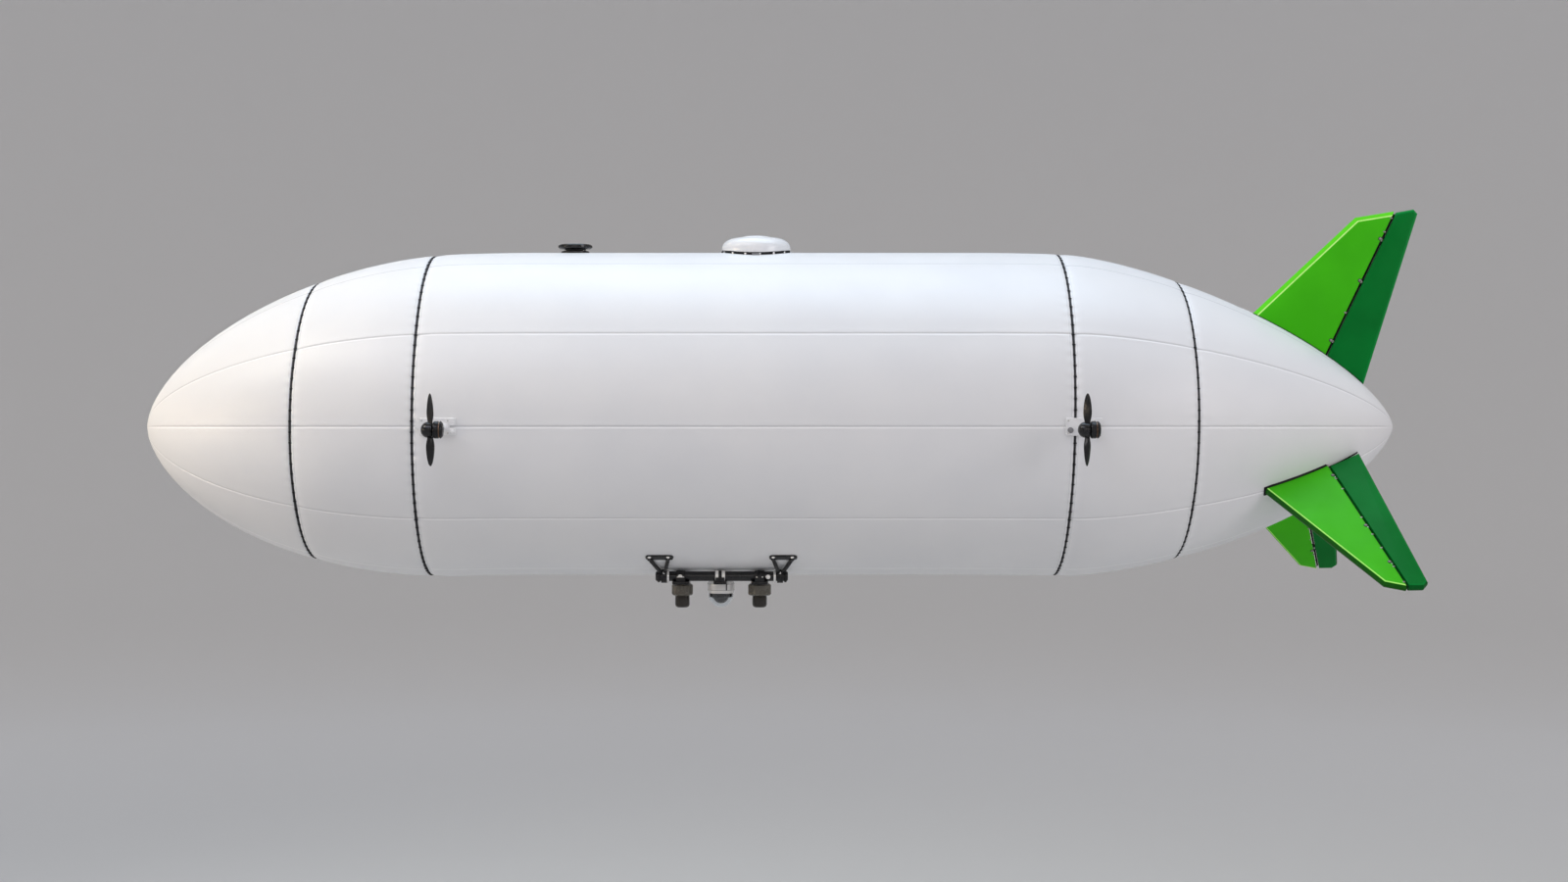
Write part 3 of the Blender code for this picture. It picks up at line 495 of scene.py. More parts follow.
class Look:
    """A Principled material that gets its texture nodes one by one."""

    def __init__(self, name, colour, roughness, metallic=0.0, coat=0.0, gloss=0.5):
        material = LOOKS[name] = bpy.data.materials.new(name)
        material.use_nodes = True
        self.tree = material.node_tree
        self.sockets = self.tree.nodes["Principled BSDF"].inputs
        self.place = self.node("TexCoord").outputs["Object"]
        plain = {"Base Color": (*colour, 1.0), "Roughness": roughness, "Metallic": metallic}
        plain |= {"Coat Weight": coat, "Coat Roughness": 0.1, "Specular IOR Level": gloss}
        self.put(plain, self.sockets)

    def put(self, values, sockets):
        """Links each output to its socket, or sets a plain value there."""
        for key, value in values.items():
            if isinstance(value, bpy.types.NodeSocket):
                self.tree.links.new(value, sockets[key])
            else:
                sockets[key].default_value = value

    def node(self, kind, values=None):
        node = self.tree.nodes.new("ShaderNode" + kind)
        self.put(values or {}, node.inputs)
        return node

    def maths(self, operation, *values):
        node = self.node("Math", dict(enumerate(values)))
        node.operation = operation
        return node.outputs[0]

    def times(self, first, second):
        return self.maths("MULTIPLY", first, second)

    def noise(self, scale, detail=3.0, stretch=None):
        place = self.place
        if stretch:
            place = self.node("Mapping", {"Vector": place, "Scale": stretch}).outputs[0]
        return self.node("TexNoise", {"Vector": place, "Scale": scale, "Detail": detail}).outputs["Fac"]

    def attribute(self, name):
        node = self.node("Attribute")
        node.attribute_name = name
        return node.outputs["Fac"]

    def between(self, *values):
        """A value from low to high, carried to 0 to 1 or to the range that follows."""
        return self.node("MapRange", dict(enumerate(values))).outputs[0]

    def mixed(self, share, first, second):
        """A colour between two, each three numbers or a colour output."""
        node = self.node("Mix")
        node.data_type = "RGBA"
        colours = [(*colour, 1.0) if isinstance(colour, tuple) else colour for colour in (first, second)]
        self.put({0: share, 6: colours[0], 7: colours[1]}, node.inputs)
        return node.outputs[2]

    def clouded(self, texture, low, high, light, dark):
        return self.mixed(self.between(texture, low, high), light, dark)

    def colour(self, output):
        self.put({"Base Color": output}, self.sockets)

    def roughness(self, texture, low, high):
        """Roughness from low to high, following a texture."""
        self.put({"Roughness": self.between(texture, 0.3, 0.7, low, high)}, self.sockets)

    def bump(self, height, distance, strength=1.0):
        """Adds a relief of that height in metres to those already there."""
        values = {"Strength": strength, "Distance": distance, "Height": height}
        normal = self.sockets["Normal"]
        if normal.is_linked:
            values["Normal"] = normal.links[0].from_socket
        self.put({"Normal": self.node("Bump", values).outputs["Normal"]}, self.sockets)


def plain_look(name, light, dark, roughness, metallic=0.0, coat=0.0, relief=0.0001, gloss=0.5):
    """A surface with cloudy colour, uneven gloss and a fine grain."""
    look = Look(name, light, roughness[0], metallic, coat, gloss)
    look.colour(look.clouded(look.noise(6.0, 4.0), 0.35, 0.65, light, dark))
    look.roughness(look.noise(30.0, 5.0), *roughness)
    look.bump(look.noise(900.0, 2.0), relief)


def envelope_look():
    """White coated fabric: a fine weave, puckers at the laced rims, creases along the seams, and painted
    shade and highlight beside the seams and bands.
    """
    look = Look("envelope_fabric", (0.80, 0.80, 0.81), 0.42)
    look.put({"Sheen Weight": 0.08, "Sheen Roughness": 0.4}, look.sockets)
    seam, rim, laces, painted_shading = (look.attribute(name) for name in ("seam", "rim", "laces", "painted_shading"))
    near_seam = look.between(seam, 0.0, 0.05, 1.0, 0.0)
    near_rim = look.between(rim, 0.0, 0.06, 1.0, 0.0)
    cloth = look.clouded(look.noise(1.7, 4.0), 0.3, 0.7, (0.82, 0.82, 0.825), (0.77, 0.775, 0.79))
    # painted shade above each seam, and painted highlight below it and aft of each band
    cloth = look.mixed(look.between(painted_shading, 0.1, 1.0, 0.0, 0.45), cloth, (0.40, 0.40, 0.42))
    cloth = look.mixed(look.between(painted_shading, -0.1, -1.0, 0.0, 0.90), cloth, (0.97, 0.97, 0.98))
    from_stitches = look.maths("ABSOLUTE", look.maths("SUBTRACT", rim, HEM_WIDTH))
    cloth = look.mixed(look.between(from_stitches, 0.0006, 0.0022, 0.30, 0.0), cloth, (0.42, 0.43, 0.46))
    # darker in patches within 4 mm of each band
    rim_darkening = look.times(look.between(rim, 0.0, 0.004, 0.30, 0.0), look.noise(40, 4.0))
    look.colour(look.mixed(rim_darkening, cloth, (0.40, 0.40, 0.42)))
    look.roughness(look.noise(9.0, 4.0), 0.36, 0.48)

    axes = look.node("SeparateXYZ", {0: look.place}).outputs
    angle = look.maths("ARCTAN2", axes["Z"], axes["Y"])
    waves = look.maths("SINE", look.times(angle, laces))
    look.bump(look.times(waves, look.times(near_rim, near_rim)), 0.0016)
    creases = look.noise(16, 3.0, (1.0, 3.5, 3.5))
    look.bump(look.times(creases, look.times(near_seam, near_seam)), 0.0035)
    look.bump(look.noise(2.2, 2.0, (0.6, 1.0, 1.0)), 0.010, 0.5)
    look.bump(look.noise(1100, 2.0), 0.00012)


def green_look(name, light, dark, lit_edge_paint, highlight_line_paint, shaded_edge_paint, gloss):
    """Satin paint with painted light on its edges: the edge attribute paints a lit slope up to a half, then a
    pale painted highlight line, and painted shade below zero.
    """
    look = Look(name, light, 0.35, gloss=gloss)
    paint = look.clouded(look.noise(3.0, 4.0), 0.35, 0.65, light, dark)
    # patches that break up the painted highlight line
    highlight_patches = look.between(look.noise(30, 4.0), 0.25, 0.6, 0.75, 1.0)
    edge = look.attribute("edge")
    paint = look.mixed(look.between(edge, 0.0, 0.5), paint, lit_edge_paint)
    paint = look.mixed(look.times(look.between(edge, 0.5, 1.0), highlight_patches), paint, highlight_line_paint)
    look.colour(look.mixed(look.between(edge, 0.0, -1.0), paint, shaded_edge_paint))
    look.roughness(look.noise(14, 5.0), 0.30, 0.42)
    look.bump(look.noise(600, 2.0), 0.00012)


def brushed_look(name, light, dark, roughness, metallic=1.0):
    """Metal with fine turning marks."""
    look = Look(name, light, roughness[0], metallic)
    marks = look.noise(60, 4.0, (1.0, 1.0, 40.0))
    look.colour(look.clouded(marks, 0.3, 0.7, light, dark))
    look.roughness(marks, *roughness)
    look.bump(marks, 0.00008)


def glass_look(name):
    look = Look(name, (0.93, 0.96, 0.98), 0.02)
    look.put({"Transmission Weight": 1.0, "IOR": 1.45}, look.sockets)
    look.roughness(look.noise(30, 3.0), 0.01, 0.05)


def make_looks():
    black, soot = (0.006, 0.006, 0.007), (0.012, 0.012, 0.013)
    envelope_look()
    cord = (0.006, 0.006, 0.008), (0.012, 0.012, 0.014)
    plain_look("lacing_cord", *cord, (0.5, 0.7), relief=0.0004, gloss=0.2)
    band = (0.024, 0.024, 0.027), (0.036, 0.036, 0.040)
    plain_look("lacing_band", *band, (0.5, 0.7), relief=0.0003, gloss=0.25)
    # painted edge light of the fins, then of the rudders: lit slope, highlight line, shaded slope
    edges = (0.12, 0.72, 0.015), (0.62, 1.0, 0.28), (0.006, 0.11, 0.002)
    green_look("fin_green", (0.056, 0.52, 0.005), (0.046, 0.45, 0.004), *edges, 0.12)
    edges = (0.005, 0.30, 0.06), (0.03, 0.45, 0.12), (0.001, 0.06, 0.010)
    green_look("rudder_green", (0.002, 0.180, 0.026), (0.001, 0.145, 0.020), *edges, 0.06)
    plain_look("black_metal", black, soot, (0.22, 0.36), gloss=0.3)
    plain_look("propeller_black", black, soot, (0.10, 0.20), gloss=0.4)
    plain_look("black_rubber", black, soot, (0.55, 0.75), relief=0.0003, gloss=0.2)
    white = (0.83, 0.83, 0.84), (0.80, 0.803, 0.812)
    plain_look("white_plastic", *white, (0.24, 0.28), coat=0.2, relief=0.00003)
    brushed_look("silver", (0.92, 0.91, 0.89), (0.80, 0.79, 0.77), (0.16, 0.30), 0.45)
    plain_look("pale_metal", (0.94, 0.93, 0.91), (0.87, 0.86, 0.84), (0.16, 0.26), 0.2, coat=0.4)
    plain_look("pewter", (0.34, 0.33, 0.30), (0.22, 0.21, 0.19), (0.3, 0.5), 0.5)
    brushed_look("bronze", (0.26, 0.17, 0.12), (0.16, 0.10, 0.07), (0.22, 0.35))
    plain_look("pod_grey", (0.150, 0.138, 0.115), (0.110, 0.101, 0.084), (0.20, 0.36), 0.35)
    plain_look("pod_barrel", (0.034, 0.029, 0.022), (0.022, 0.019, 0.015), (0.14, 0.26), 0.2)
    plain_look("lens_glass", (0.004, 0.005, 0.008), (0.006, 0.006, 0.012), (0.03, 0.06), coat=1.0, relief=0.0)
    plain_look("grey_plug", (0.25, 0.25, 0.26), (0.20, 0.20, 0.21), (0.35, 0.5))
    glass_look("clear_dome")


# Envelope


def smooth_step(u):
    u = min(max(u, 0.0), 1.0)
    return u * u * (3 - 2 * u)


def hull_radius(x):
    for reach, (length, p, q, _) in ((x + HALF_LENGTH, NOSE), (HALF_LENGTH - x, TAIL)):
        if reach < length:
            return HULL_RADIUS * (1 - (1 - max(reach, 0.0) / length) ** p) ** (1 / q)
    return HULL_RADIUS


def hull_centre(x):
    return HULL_LIFT * smooth_step((x + HALF_LENGTH) / NOSE[3]) * smooth_step((HALF_LENGTH - x) / TAIL[3])


def on_skin(x, angle, outward=0.0):
    """A point of the envelope. The angle, in radians, is about the nose to tail line, from the left up."""
    centre, radius = hull_centre(x), hull_radius(x)
    reach = centre * sin(angle) + outward
    reach += sqrt(max(radius**2 - (centre * cos(angle)) ** 2, 0.0))
    return Vector((x, -reach * cos(angle), reach * sin(angle)))


def skin_frame(x, angle, outward=0.0):
    """At a point of the envelope: X aft along the skin, Z outwards."""
    step = 0.002
    aft = (on_skin(x + step, angle) - on_skin(x - step, angle)).normalized()
    up = (on_skin(x, angle + step) - on_skin(x, angle - step)).normalized()
    out = aft.cross(up)
    if out.dot(on_skin(x, angle) - Vector((x, 0, hull_centre(x)))) < 0:
        out.negate()
    return facing(on_skin(x, angle) + out * outward, out, aft)


def sway(x, angle):
    """How far a laced seam, and the fabric near it, lies aft of its plane."""
    total = 0.0
    for seam_x, (bow, tilt, move) in zip(SEAM_X, SEAM_SWAY):
        share = max(0.0, 1 - abs(x - seam_x) / SWAY_RUN) ** 2
        total += share * (bow * cos(angle) ** 2 + tilt * (1 - sin(angle)) / 2 + move)
    return total


def height_above(point):
    """How far a point is from the envelope, measured in the plane of its round section."""
    return hypot(point.y, point.z - hull_centre(point.x)) - hull_radius(point.x)


def gore_columns(x):
    """Each column of points at x: its angle, distance to a seam, share between two seams and painted seam
    shade.
    """
    left = [radians(angle) for angle in GORE_ANGLES]
    seams = sorted(left + [pi - angle for angle in left])
    radius = max(hull_radius(x), TIP_MARGIN)
    above, below = SEAM_SHADES
    columns = []
    for seam, following in zip(seams, seams[1:] + [seams[0] + 2 * pi]):
        gap = following - seam
        steps = [min(step / radius, gap * 0.02 * (i + (i > 0))) for i, step in enumerate(SEAM_STEPS)]
        first, last = steps[-1], gap - steps[-1]
        middle = [first + (last - first) * i / (GORE_COLUMNS + 1) for i in range(1, GORE_COLUMNS + 1)]
        after = above if cos(seam) > 0 else below
        before = below if cos(following) > 0 else above
        shades = (*after, *[0.0] * len(middle), *before[:0:-1])
        for offset, shade in zip(steps + middle + [gap - step for step in steps[:0:-1]], shades):
            distance = min(offset, gap - offset) * radius
            columns.append((seam + offset, distance, offset / gap, shade))
    return columns


def fabric_lift(distance, share, radius, to_rim, is_aft, lace_phase):
    """How far the fabric stands out from the plain shape. is_aft: aft of the nearest band."""
    size = min(1.0, radius / FULL_BILLOW_RADIUS)
    lift = BILLOW * sin(pi * share) ** BILLOW_POWER * size - BILLOW / 2
    lift -= SEAM_DEPTH * max(0.0, 1 - (distance / SEAM_HALF) ** 2) * size
    lift -= RIM_DROP * exp(-to_rim / RIM_DROP_RUN)
    tuck, run = RIM_TUCK["aft" if is_aft else "forward"]
    lift -= tuck * exp(-to_rim / run)
    lift += PUCKER * cos(lace_phase) * exp(-to_rim / PUCKER_RUN)
    return lift + (HEM_HEIGHT if to_rim < HEM_WIDTH else 0.0)


def section_rows(low, high):
    """Where along X a section has its rings of points: close together at its rims and tip."""
    rims = [x for x in (low, high) if abs(x) < HALF_LENGTH - TIP_MARGIN]
    start = low + RIM_STEPS[-1] if low in rims else low
    end = high - RIM_STEPS[-1] if high in rims else high
    count = max(2, round((end - start) / ROW_SPACING))
    shares = [i / count for i in range(count + 1)]
    if low not in rims:
        shares = [share**TIP_CROWDING for share in shares]
    if high not in rims:
        shares = [1 - (1 - share) ** TIP_CROWDING for share in shares]
    rows = [start + (end - start) * share for share in shares]
    if low in rims:
        rows = [low + step for step in RIM_STEPS[:-1]] + rows
    if high in rims:
        rows += [high - step for step in RIM_STEPS[-2::-1]]
    return rows, rims


def laces_at(seam_x):
    return round(2 * pi * hull_radius(seam_x) / LACE_PITCH)


def add_section(name):
    """A length of the envelope, with its gore seams, hems and inner face."""
    low, high = (corner.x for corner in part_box(name))
    low -= RIM_OVERLAP if low > -HALF_LENGTH + WALL else 0.0
    high += RIM_OVERLAP if high < HALF_LENGTH - WALL else 0.0
    rows, rims = section_rows(low, high)
    outer, inner = [], []
    values = {"seam": [], "rim": [], "laces": [], "painted_shading": []}
    for i, x in enumerate(rows):
        rim_x = min(rims, key=lambda edge: abs(x - edge))
        to_rim, is_aft = abs(x - rim_x), rim_x == low
        count = laces_at(min(SEAM_X, key=lambda seam_x: abs(seam_x - x)))
        if abs(x) > HALF_LENGTH - TIP_MARGIN:
            outer.append([Vector((x, 0, 0))])
            inner.append([Vector((x - copysign(WALL, x), 0, 0))])
            columns = [(0.0, 0.0, 0.0, 0.0)]
        else:
            columns, radius = gore_columns(x), hull_radius(x)
            depth = min(WALL, radius * 0.5) + RIM_DROP + RIM_TUCK["aft"][0]
            outer_ring, inner_ring = [], []
            for angle, distance, share, _ in columns:
                at = x + sway(x, angle)
                lift = fabric_lift(distance, share, radius, to_rim, is_aft, angle * count)
                outer_ring.append(on_skin(at, angle, lift))
                inner_ring.append(on_skin(at, angle, -depth))
            outer.append(outer_ring)
            if i % INNER_STEP == 0 or i == len(rows) - 1:
                inner.append(inner_ring)
        # painted highlight on the fabric aft of each band
        bright = -RIM_HIGHLIGHT * exp(-to_rim / RIM_BRIGHT_RUN) if is_aft else 0.0
        values["seam"] += [column[1] for column in columns]
        values["painted_shading"] += [min(shade, bright) if shade <= 0 else shade for *_, shade in columns]
        values["rim"] += [to_rim] * len(columns)
        values["laces"] += [count] * len(columns)
    shape = flipped(loft(outer + inner[::-1], endless=True))
    inside = len(shape[0]) - len(values["seam"])
    for key, inner_value in (("seam", 1.0), ("rim", 1.0), ("laces", 0.0), ("painted_shading", 0.0)):
        values[key] += [inner_value] * inside
    add(name + "_fabric", shape, "envelope_fabric", name, values=values)


def add_seam(number, x):
    """The black band sunk between two sections, and the knots of the lacing across it."""
    rings = []
    for share, out in BAND_PROFILE + tuple((-share, out) for share, out in BAND_PROFILE[::-1]):
        rings.append([on_skin(x + sway(x, t) + share * BAND_HALF, t, out) for t in turns(BAND_SIDES)])
    band = flipped(loft(rings, endless=True))
    add(f"lacing_band_{number}", band, "lacing_band", f"seam_band_{number}")

    knot = placed(ball(1.0, 10), Matrix.Diagonal((0.0062, 0.0058, 0.0030, 1)))
    strand = placed(rod(0.0012, 0.0150, 0.0004, 8), ALONG_X)
    eyelet = ring(0.0008, 0.0019, 0.0014, 0.0003, 12)
    eyelets = copies(eyelet, [shift(side * 0.0076, 0, -0.0008) for side in (-1, 1)])
    places = [skin_frame(x + sway(x, angle), angle, -0.0036) for angle in turns(laces_at(x), 0.5)]
    add(f"lacing_knots_{number}", copies(joined(knot, strand, eyelets), places), "lacing_cord")


# Tail fins


class Fin:
    """A tail fin's place and edges. In its plane, X is aft and Y is out from the envelope."""

    def __init__(self, kind, turn, root_height):
        self.kind = kind
        self.place = shift(0, 0, root_height) @ spin(turn, "X") @ spin(90, "X")
        start, end = (Vector(corner) for corner in FIN_EDGES[kind]["hinge"])
        self.hinge_start, self.hinge_length = start, (end - start).length
        self.along = along = (end - start).normalized()
        rows = ((along.y, along.x, 0, start.x), (-along.x, along.y, 0, start.y), (0, 0, 1, 0), (0, 0, 0, 1))
        self.at_hinge = self.place @ Matrix(rows)  # X aft and Y along the hinge

    def line(self, edge, aft=0.0):
        """A function from a share of the edge's length to a point, moved aft of the edge."""
        start, end = (Vector(corner) for corner in FIN_EDGES[self.kind][edge])
        along = (end - start).normalized()
        move = Vector((along.y, -along.x)) * aft
        return lambda share: start.lerp(end, share) + move

    def above(self, height, face=0.0):
        """Whether a point is higher than that above the envelope, on the plane or on a face."""
        return lambda point: height_above(self.place @ Vector((point.x, point.y, face))) > height


def root_points(first, second, is_clear, count=12):
    """The inner edge between two edge lines: as far in as is_clear allows."""
    points = []
    for i in range(count + 1):
        low, high = ROOT_SEARCH
        for _ in range(ROOT_HALVINGS):
            middle = (low + high) / 2
            if is_clear(first(middle).lerp(second(middle), i / count)):
                high = middle
            else:
                low = middle
        points.append(tuple(first(high).lerp(second(high), i / count)))
    return points


def add_panel(name, fin, look, body, outline, bevelled, depth, edge_light):
    """A slab in the fin's plane whose bevelled sides slope to a narrow rim.

    The edge attribute is the edge light: the painted light and shade of the slope and of the highlight line
    inside it.
    """
    slope, line = edge_light
    levels = [
        (0.0, 0.0, FIN_EDGE_HALF - 0.0025, slope),
        (0.0006, 0.0, FIN_EDGE_HALF - 0.0008, slope),
        (0.0024, 0.0, FIN_EDGE_HALF + 0.0004, slope),
        (depth - 0.0050, 0.0, FIN_HALF - 0.0030, slope),
        (depth - 0.0028, 0.0004, FIN_HALF - 0.0014, line),
        (depth + 0.0018, 0.0012, FIN_HALF - 0.0003, line),
        (depth + 0.0038, 0.0030, FIN_HALF, 0.0),
    ]
    levels = [(a, b, -height, shade) for a, b, height, shade in reversed(levels)] + levels
    outer = [here or bevelled[i - 1] for i, here in enumerate(bevelled)]
    rings, shades = [], []
    for sloped, square, height, shade in levels:
        amounts = [sloped if is_bevelled else square for is_bevelled in bevelled]
        rings.append(flat_ring(inset(outline, amounts), height))
        shades += [shade if is_outer else 0.0 for is_outer in outer]
    shape = placed(loft(rings, closed_ends=True), fin.place)
    add(name + "_panel", shape, look, name, body, sharp=25, values={"edge": shades})


def add_fixed_fin(name, fin):
    """The fin in front of the hinge. Its root runs a little way into the envelope."""
    leading, hinge = fin.line("leading"), fin.line("hinge", -FIN_GAP)
    root = root_points(leading, hinge, fin.above(-0.006))
    outline = root + [tuple(hinge(0.96)), tuple(hinge(1.0)), tuple(leading(1.0)), tuple(leading(0.08))]
    bevelled = [False] * (len(root) + 1) + [True] * 3
    add_panel(name, fin, "fin_green", "airframe", outline, bevelled, BEVEL[fin.kind], FIN_EDGE_LIGHT[fin.kind])


def add_rudder(name, fin):
    """The rudder behind the hinge, its root clear of the envelope for the whole swing."""
    to_hinge = fin.at_hinge.inverted()
    swings = [spin(RUDDER_SWING * k, "Y") for k in (-1, -0.5, 0, 0.5, 1)]

    def is_clear(point):
        for face in (-FIN_HALF, FIN_HALF):
            local = to_hinge @ fin.place @ Vector((point.x, point.y, face))
            if any(height_above(fin.at_hinge @ swing @ local) < RUDDER_CLEARANCE for swing in swings):
                return False
        return True

    hinge, trailing = fin.line("hinge", RUDDER_GAP), fin.line("trailing")
    root = root_points(hinge, trailing, is_clear)
    tip, along = trailing(1.0), (trailing(1.0) - trailing(0.0)).normalized()
    across = (tip - hinge(1.0)).normalized()
    corner = [tuple(tip - along * TIP_CORNER), tuple(tip - across * TIP_CORNER)]
    outline = root + corner + [tuple(hinge(1.0)), tuple(hinge(0.96))]
    bevelled = [False] * (len(root) - 1) + [True] * 3 + [False] * 2
    add_panel(name, fin, "rudder_green", name, outline, bevelled, RUDDER_BEVEL, RUDDER_EDGE_LIGHT[fin.kind])


def root_seal_and_shade_strip(fin):
    """The black seal round the fin's root, and a black strip of painted shade on the envelope under the
    rudder's gap.
    """
    leading, hinge = fin.line("leading", 0.002), fin.line("hinge", -FIN_GAP - SEAL_RADIUS)
    loop = []
    for face in (-FIN_HALF, FIN_HALF):
        side = flat_ring(root_points(leading, hinge, fin.above(0.001, face)), face)
        loop = loop + side if loop else side[::-1]
    # a black strip of painted shade on the envelope, under the gap beneath the rudder
    strip = flat_ring(root_points(fin.line("hinge"), fin.line("trailing"), fin.above(0.0)), 0.0)
    beads = ((loop, SEAL_RADIUS), (strip, SHADE_STRIP_RADIUS))
    return joined(*(pipe([fin.place @ point for point in path], radius) for path, radius in beads))


def hinge_row(fin, shares, one, setback):
    """Copies of one small part along the hinge, on both faces of the fixed fin."""
    line = fin.line("hinge", -setback)
    places = []
    for share in shares:
        for face in (-1, 1):
            out = Vector((0, 0, face))
            spot = line(share).to_3d() + out * FIN_HALF
            places.append(fin.place @ facing(spot, out, fin.along.to_3d().cross(out)))
    return copies(one, places)


def add_hinge(name, fin, rudder_body):
    """The hinge rod and its knuckles in the gap, the bosses and clips beside it."""
    line = fin.line("hinge")
    root = Vector(root_points(line, line, fin.above(0), 1)[0])
    inner = (root - fin.hinge_start).dot(fin.along)
    rod_shape = bar((0, inner - 0.004, 0), (0, fin.hinge_length - 0.012, 0), 0.0048)
    add(name + "_hinge_rod", placed(rod_shape, fin.at_hinge), "black_rubber")
    knuckle, web = ring(0.0040, 0.0072, 0.0135, 0.0008, 24), block((0.012, 0.0125, 0.004), 0.0008)
    fixed, moving = [], []
    for share in HINGE_SHARES:
        for step, group, side in ((-1, moving, 1), (0, fixed, -1), (1, moving, 1)):
            middle = fin.at_hinge @ shift(0, share * fin.hinge_length + step * KNUCKLE_STEP, 0)
            group += [placed(knuckle, middle @ ALONG_Y), placed(web, middle @ shift(side * 0.0105, 0, 0))]
    add(name + "_fixed_knuckles", joined(*fixed), "silver")
    add(name + "_rudder_knuckles", joined(*moving), "black_metal", body=rudder_body)
    washer, boss = rod(0.0100, 0.0030, 0.0008, 28), moved(bolt(0.0052, 0.0046), 0, 0, 0.0014)
    add(name + "_hinge_washers", hinge_row(fin, HINGE_SHARES, washer, BOSS_SETBACK), "black_metal", slot=None)
    add(name + "_hinge_bosses", hinge_row(fin, HINGE_SHARES, boss, BOSS_SETBACK), "pewter")
    clip = joined(block((0.0125, 0.0075, 0.0024), 0.0007), moved(bolt(0.0021, 0.0016, 10), -0.003, 0, 0.001))
    add(name + "_hinge_clips", hinge_row(fin, CLIP_SHARES[fin.kind], clip, CLIP_SETBACK), "pewter")


def add_tail():
    fins = (
        ("upper_fin", "upper_rudder", Fin("upper", 0, 0)),
        ("left_lower_fin", "left_ruddervator", Fin("lower", LOWER_FIN_TURN, LOWER_FIN_ROOT_HEIGHT)),
        ("right_lower_fin", "right_ruddervator", Fin("lower", -LOWER_FIN_TURN, LOWER_FIN_ROOT_HEIGHT)),
    )
    for name, rudder_name, fin in fins:
        add_fixed_fin(name, fin)
        add_rudder(rudder_name, fin)
        add(name + "_root_seal_and_shade_strip", root_seal_and_shade_strip(fin), "black_rubber")
        add_hinge(name, fin, rudder_name)
    patch = [(-0.045, -0.012), (0.02, -0.020), (0.03, 0.0), (0.02, 0.020), (-0.045, 0.012)]
    patch = slab(softened(patch, 0.008, closed=True), 0.010, 0.003)
    add("upper_fin_patch", placed(patch, skin_frame(PATCH_X, pi / 2, 0.002)), "white_plastic")


# Propulsion units: each is shaped for the left side, at the blades, with X aft and Z outwards


def blade_chord(share):
    if share < BLADE_WIDEST:
        return BLADE_ROOT_CHORD + (BLADE_CHORD - BLADE_ROOT_CHORD) * sin(pi / 2 * share / BLADE_WIDEST)
    out = (share - BLADE_WIDEST) / (1 - BLADE_WIDEST)
    return BLADE_CHORD * sqrt(max(1 - out**BLADE_TIP_POWER, 0.0))


def blade_ring(radius):
    """An aerofoil section of the blade at that distance from the axis."""
    share = min(max((radius - SPINNER_RADIUS) / (PROPELLER_RADIUS - SPINNER_RADIUS), 0.0), 1.0)
    chord = max(blade_chord(share), 0.002)
    pitch, thickness = (root + (tip - root) * share for root, tip in (BLADE_PITCH, BLADE_THICKNESS))
    points = []
    for t in turns(BLADE_SIDES):
        along = chord / 2 * cos(t)
        through = chord * thickness / 2 * sin(t) * (1 + BLADE_BLUNTNESS * cos(t))
        through += BLADE_CAMBER * chord * sin(t) ** 2
        axial = along * sin(pitch) + through * cos(pitch)
        around = -(along * cos(pitch) - through * sin(pitch))
        points.append(Vector((axial, around, radius)))
    return points


def propeller_blades():
    inner = SPINNER_RADIUS - 0.012
    blade = loft([blade_ring(inner + (PROPELLER_RADIUS - inner) * sin(t)) for t in arc(26)], closed_ends=True)
    return copies(blade, [spin(turn, "X") for turn in (90, 270)])


def spinner():
    """The rounded hub in front, with its back plate and the shaft."""
    nose = [(SPINNER_RADIUS * cos(t), -0.010 - 0.0355 * sin(t)) for t in arc(10)[:-1]]
    shaft = [(0, 0.030), (0.0048, 0.030), (0.0048, 0.0125)]
    back = [(0.030, 0.0125), (0.0335, 0.010), (0.0365, 0.0085), (0.0365, 0.0055), (0.0350, 0.0048)]
    back += [(0.0350, 0.0038), (SPINNER_RADIUS, 0.003)]
    return placed(turned(shaft + back + nose + [(0, -0.0455)], 56), ALONG_X)


def motor():
    """The motor's can, with a vent groove and a rounded cap behind."""
    wide = MOTOR_RADIUS
    can = raised([(0, 0), (0.012, 0), (0.014, -0.002), (0.030, -0.003), (wide - 0.004, -0.009)], MOTOR_REAR)
    can += [(wide, MOTOR_REAR - 0.014), (wide, 0.047), (wide - 0.005, 0.0465), (wide - 0.005, 0.0405)]
    can += [(wide, 0.040)] + raised([(wide, 0.007), (wide - 0.003, 0.002), (wide - 0.008, 0)], MOTOR_FRONT)
    bore = [(0.0065, MOTOR_FRONT), (0.0065, 0.033), (0, 0.033)]
    return placed(turned(softened(can, 0.0012) + bore, 56), ALONG_X)


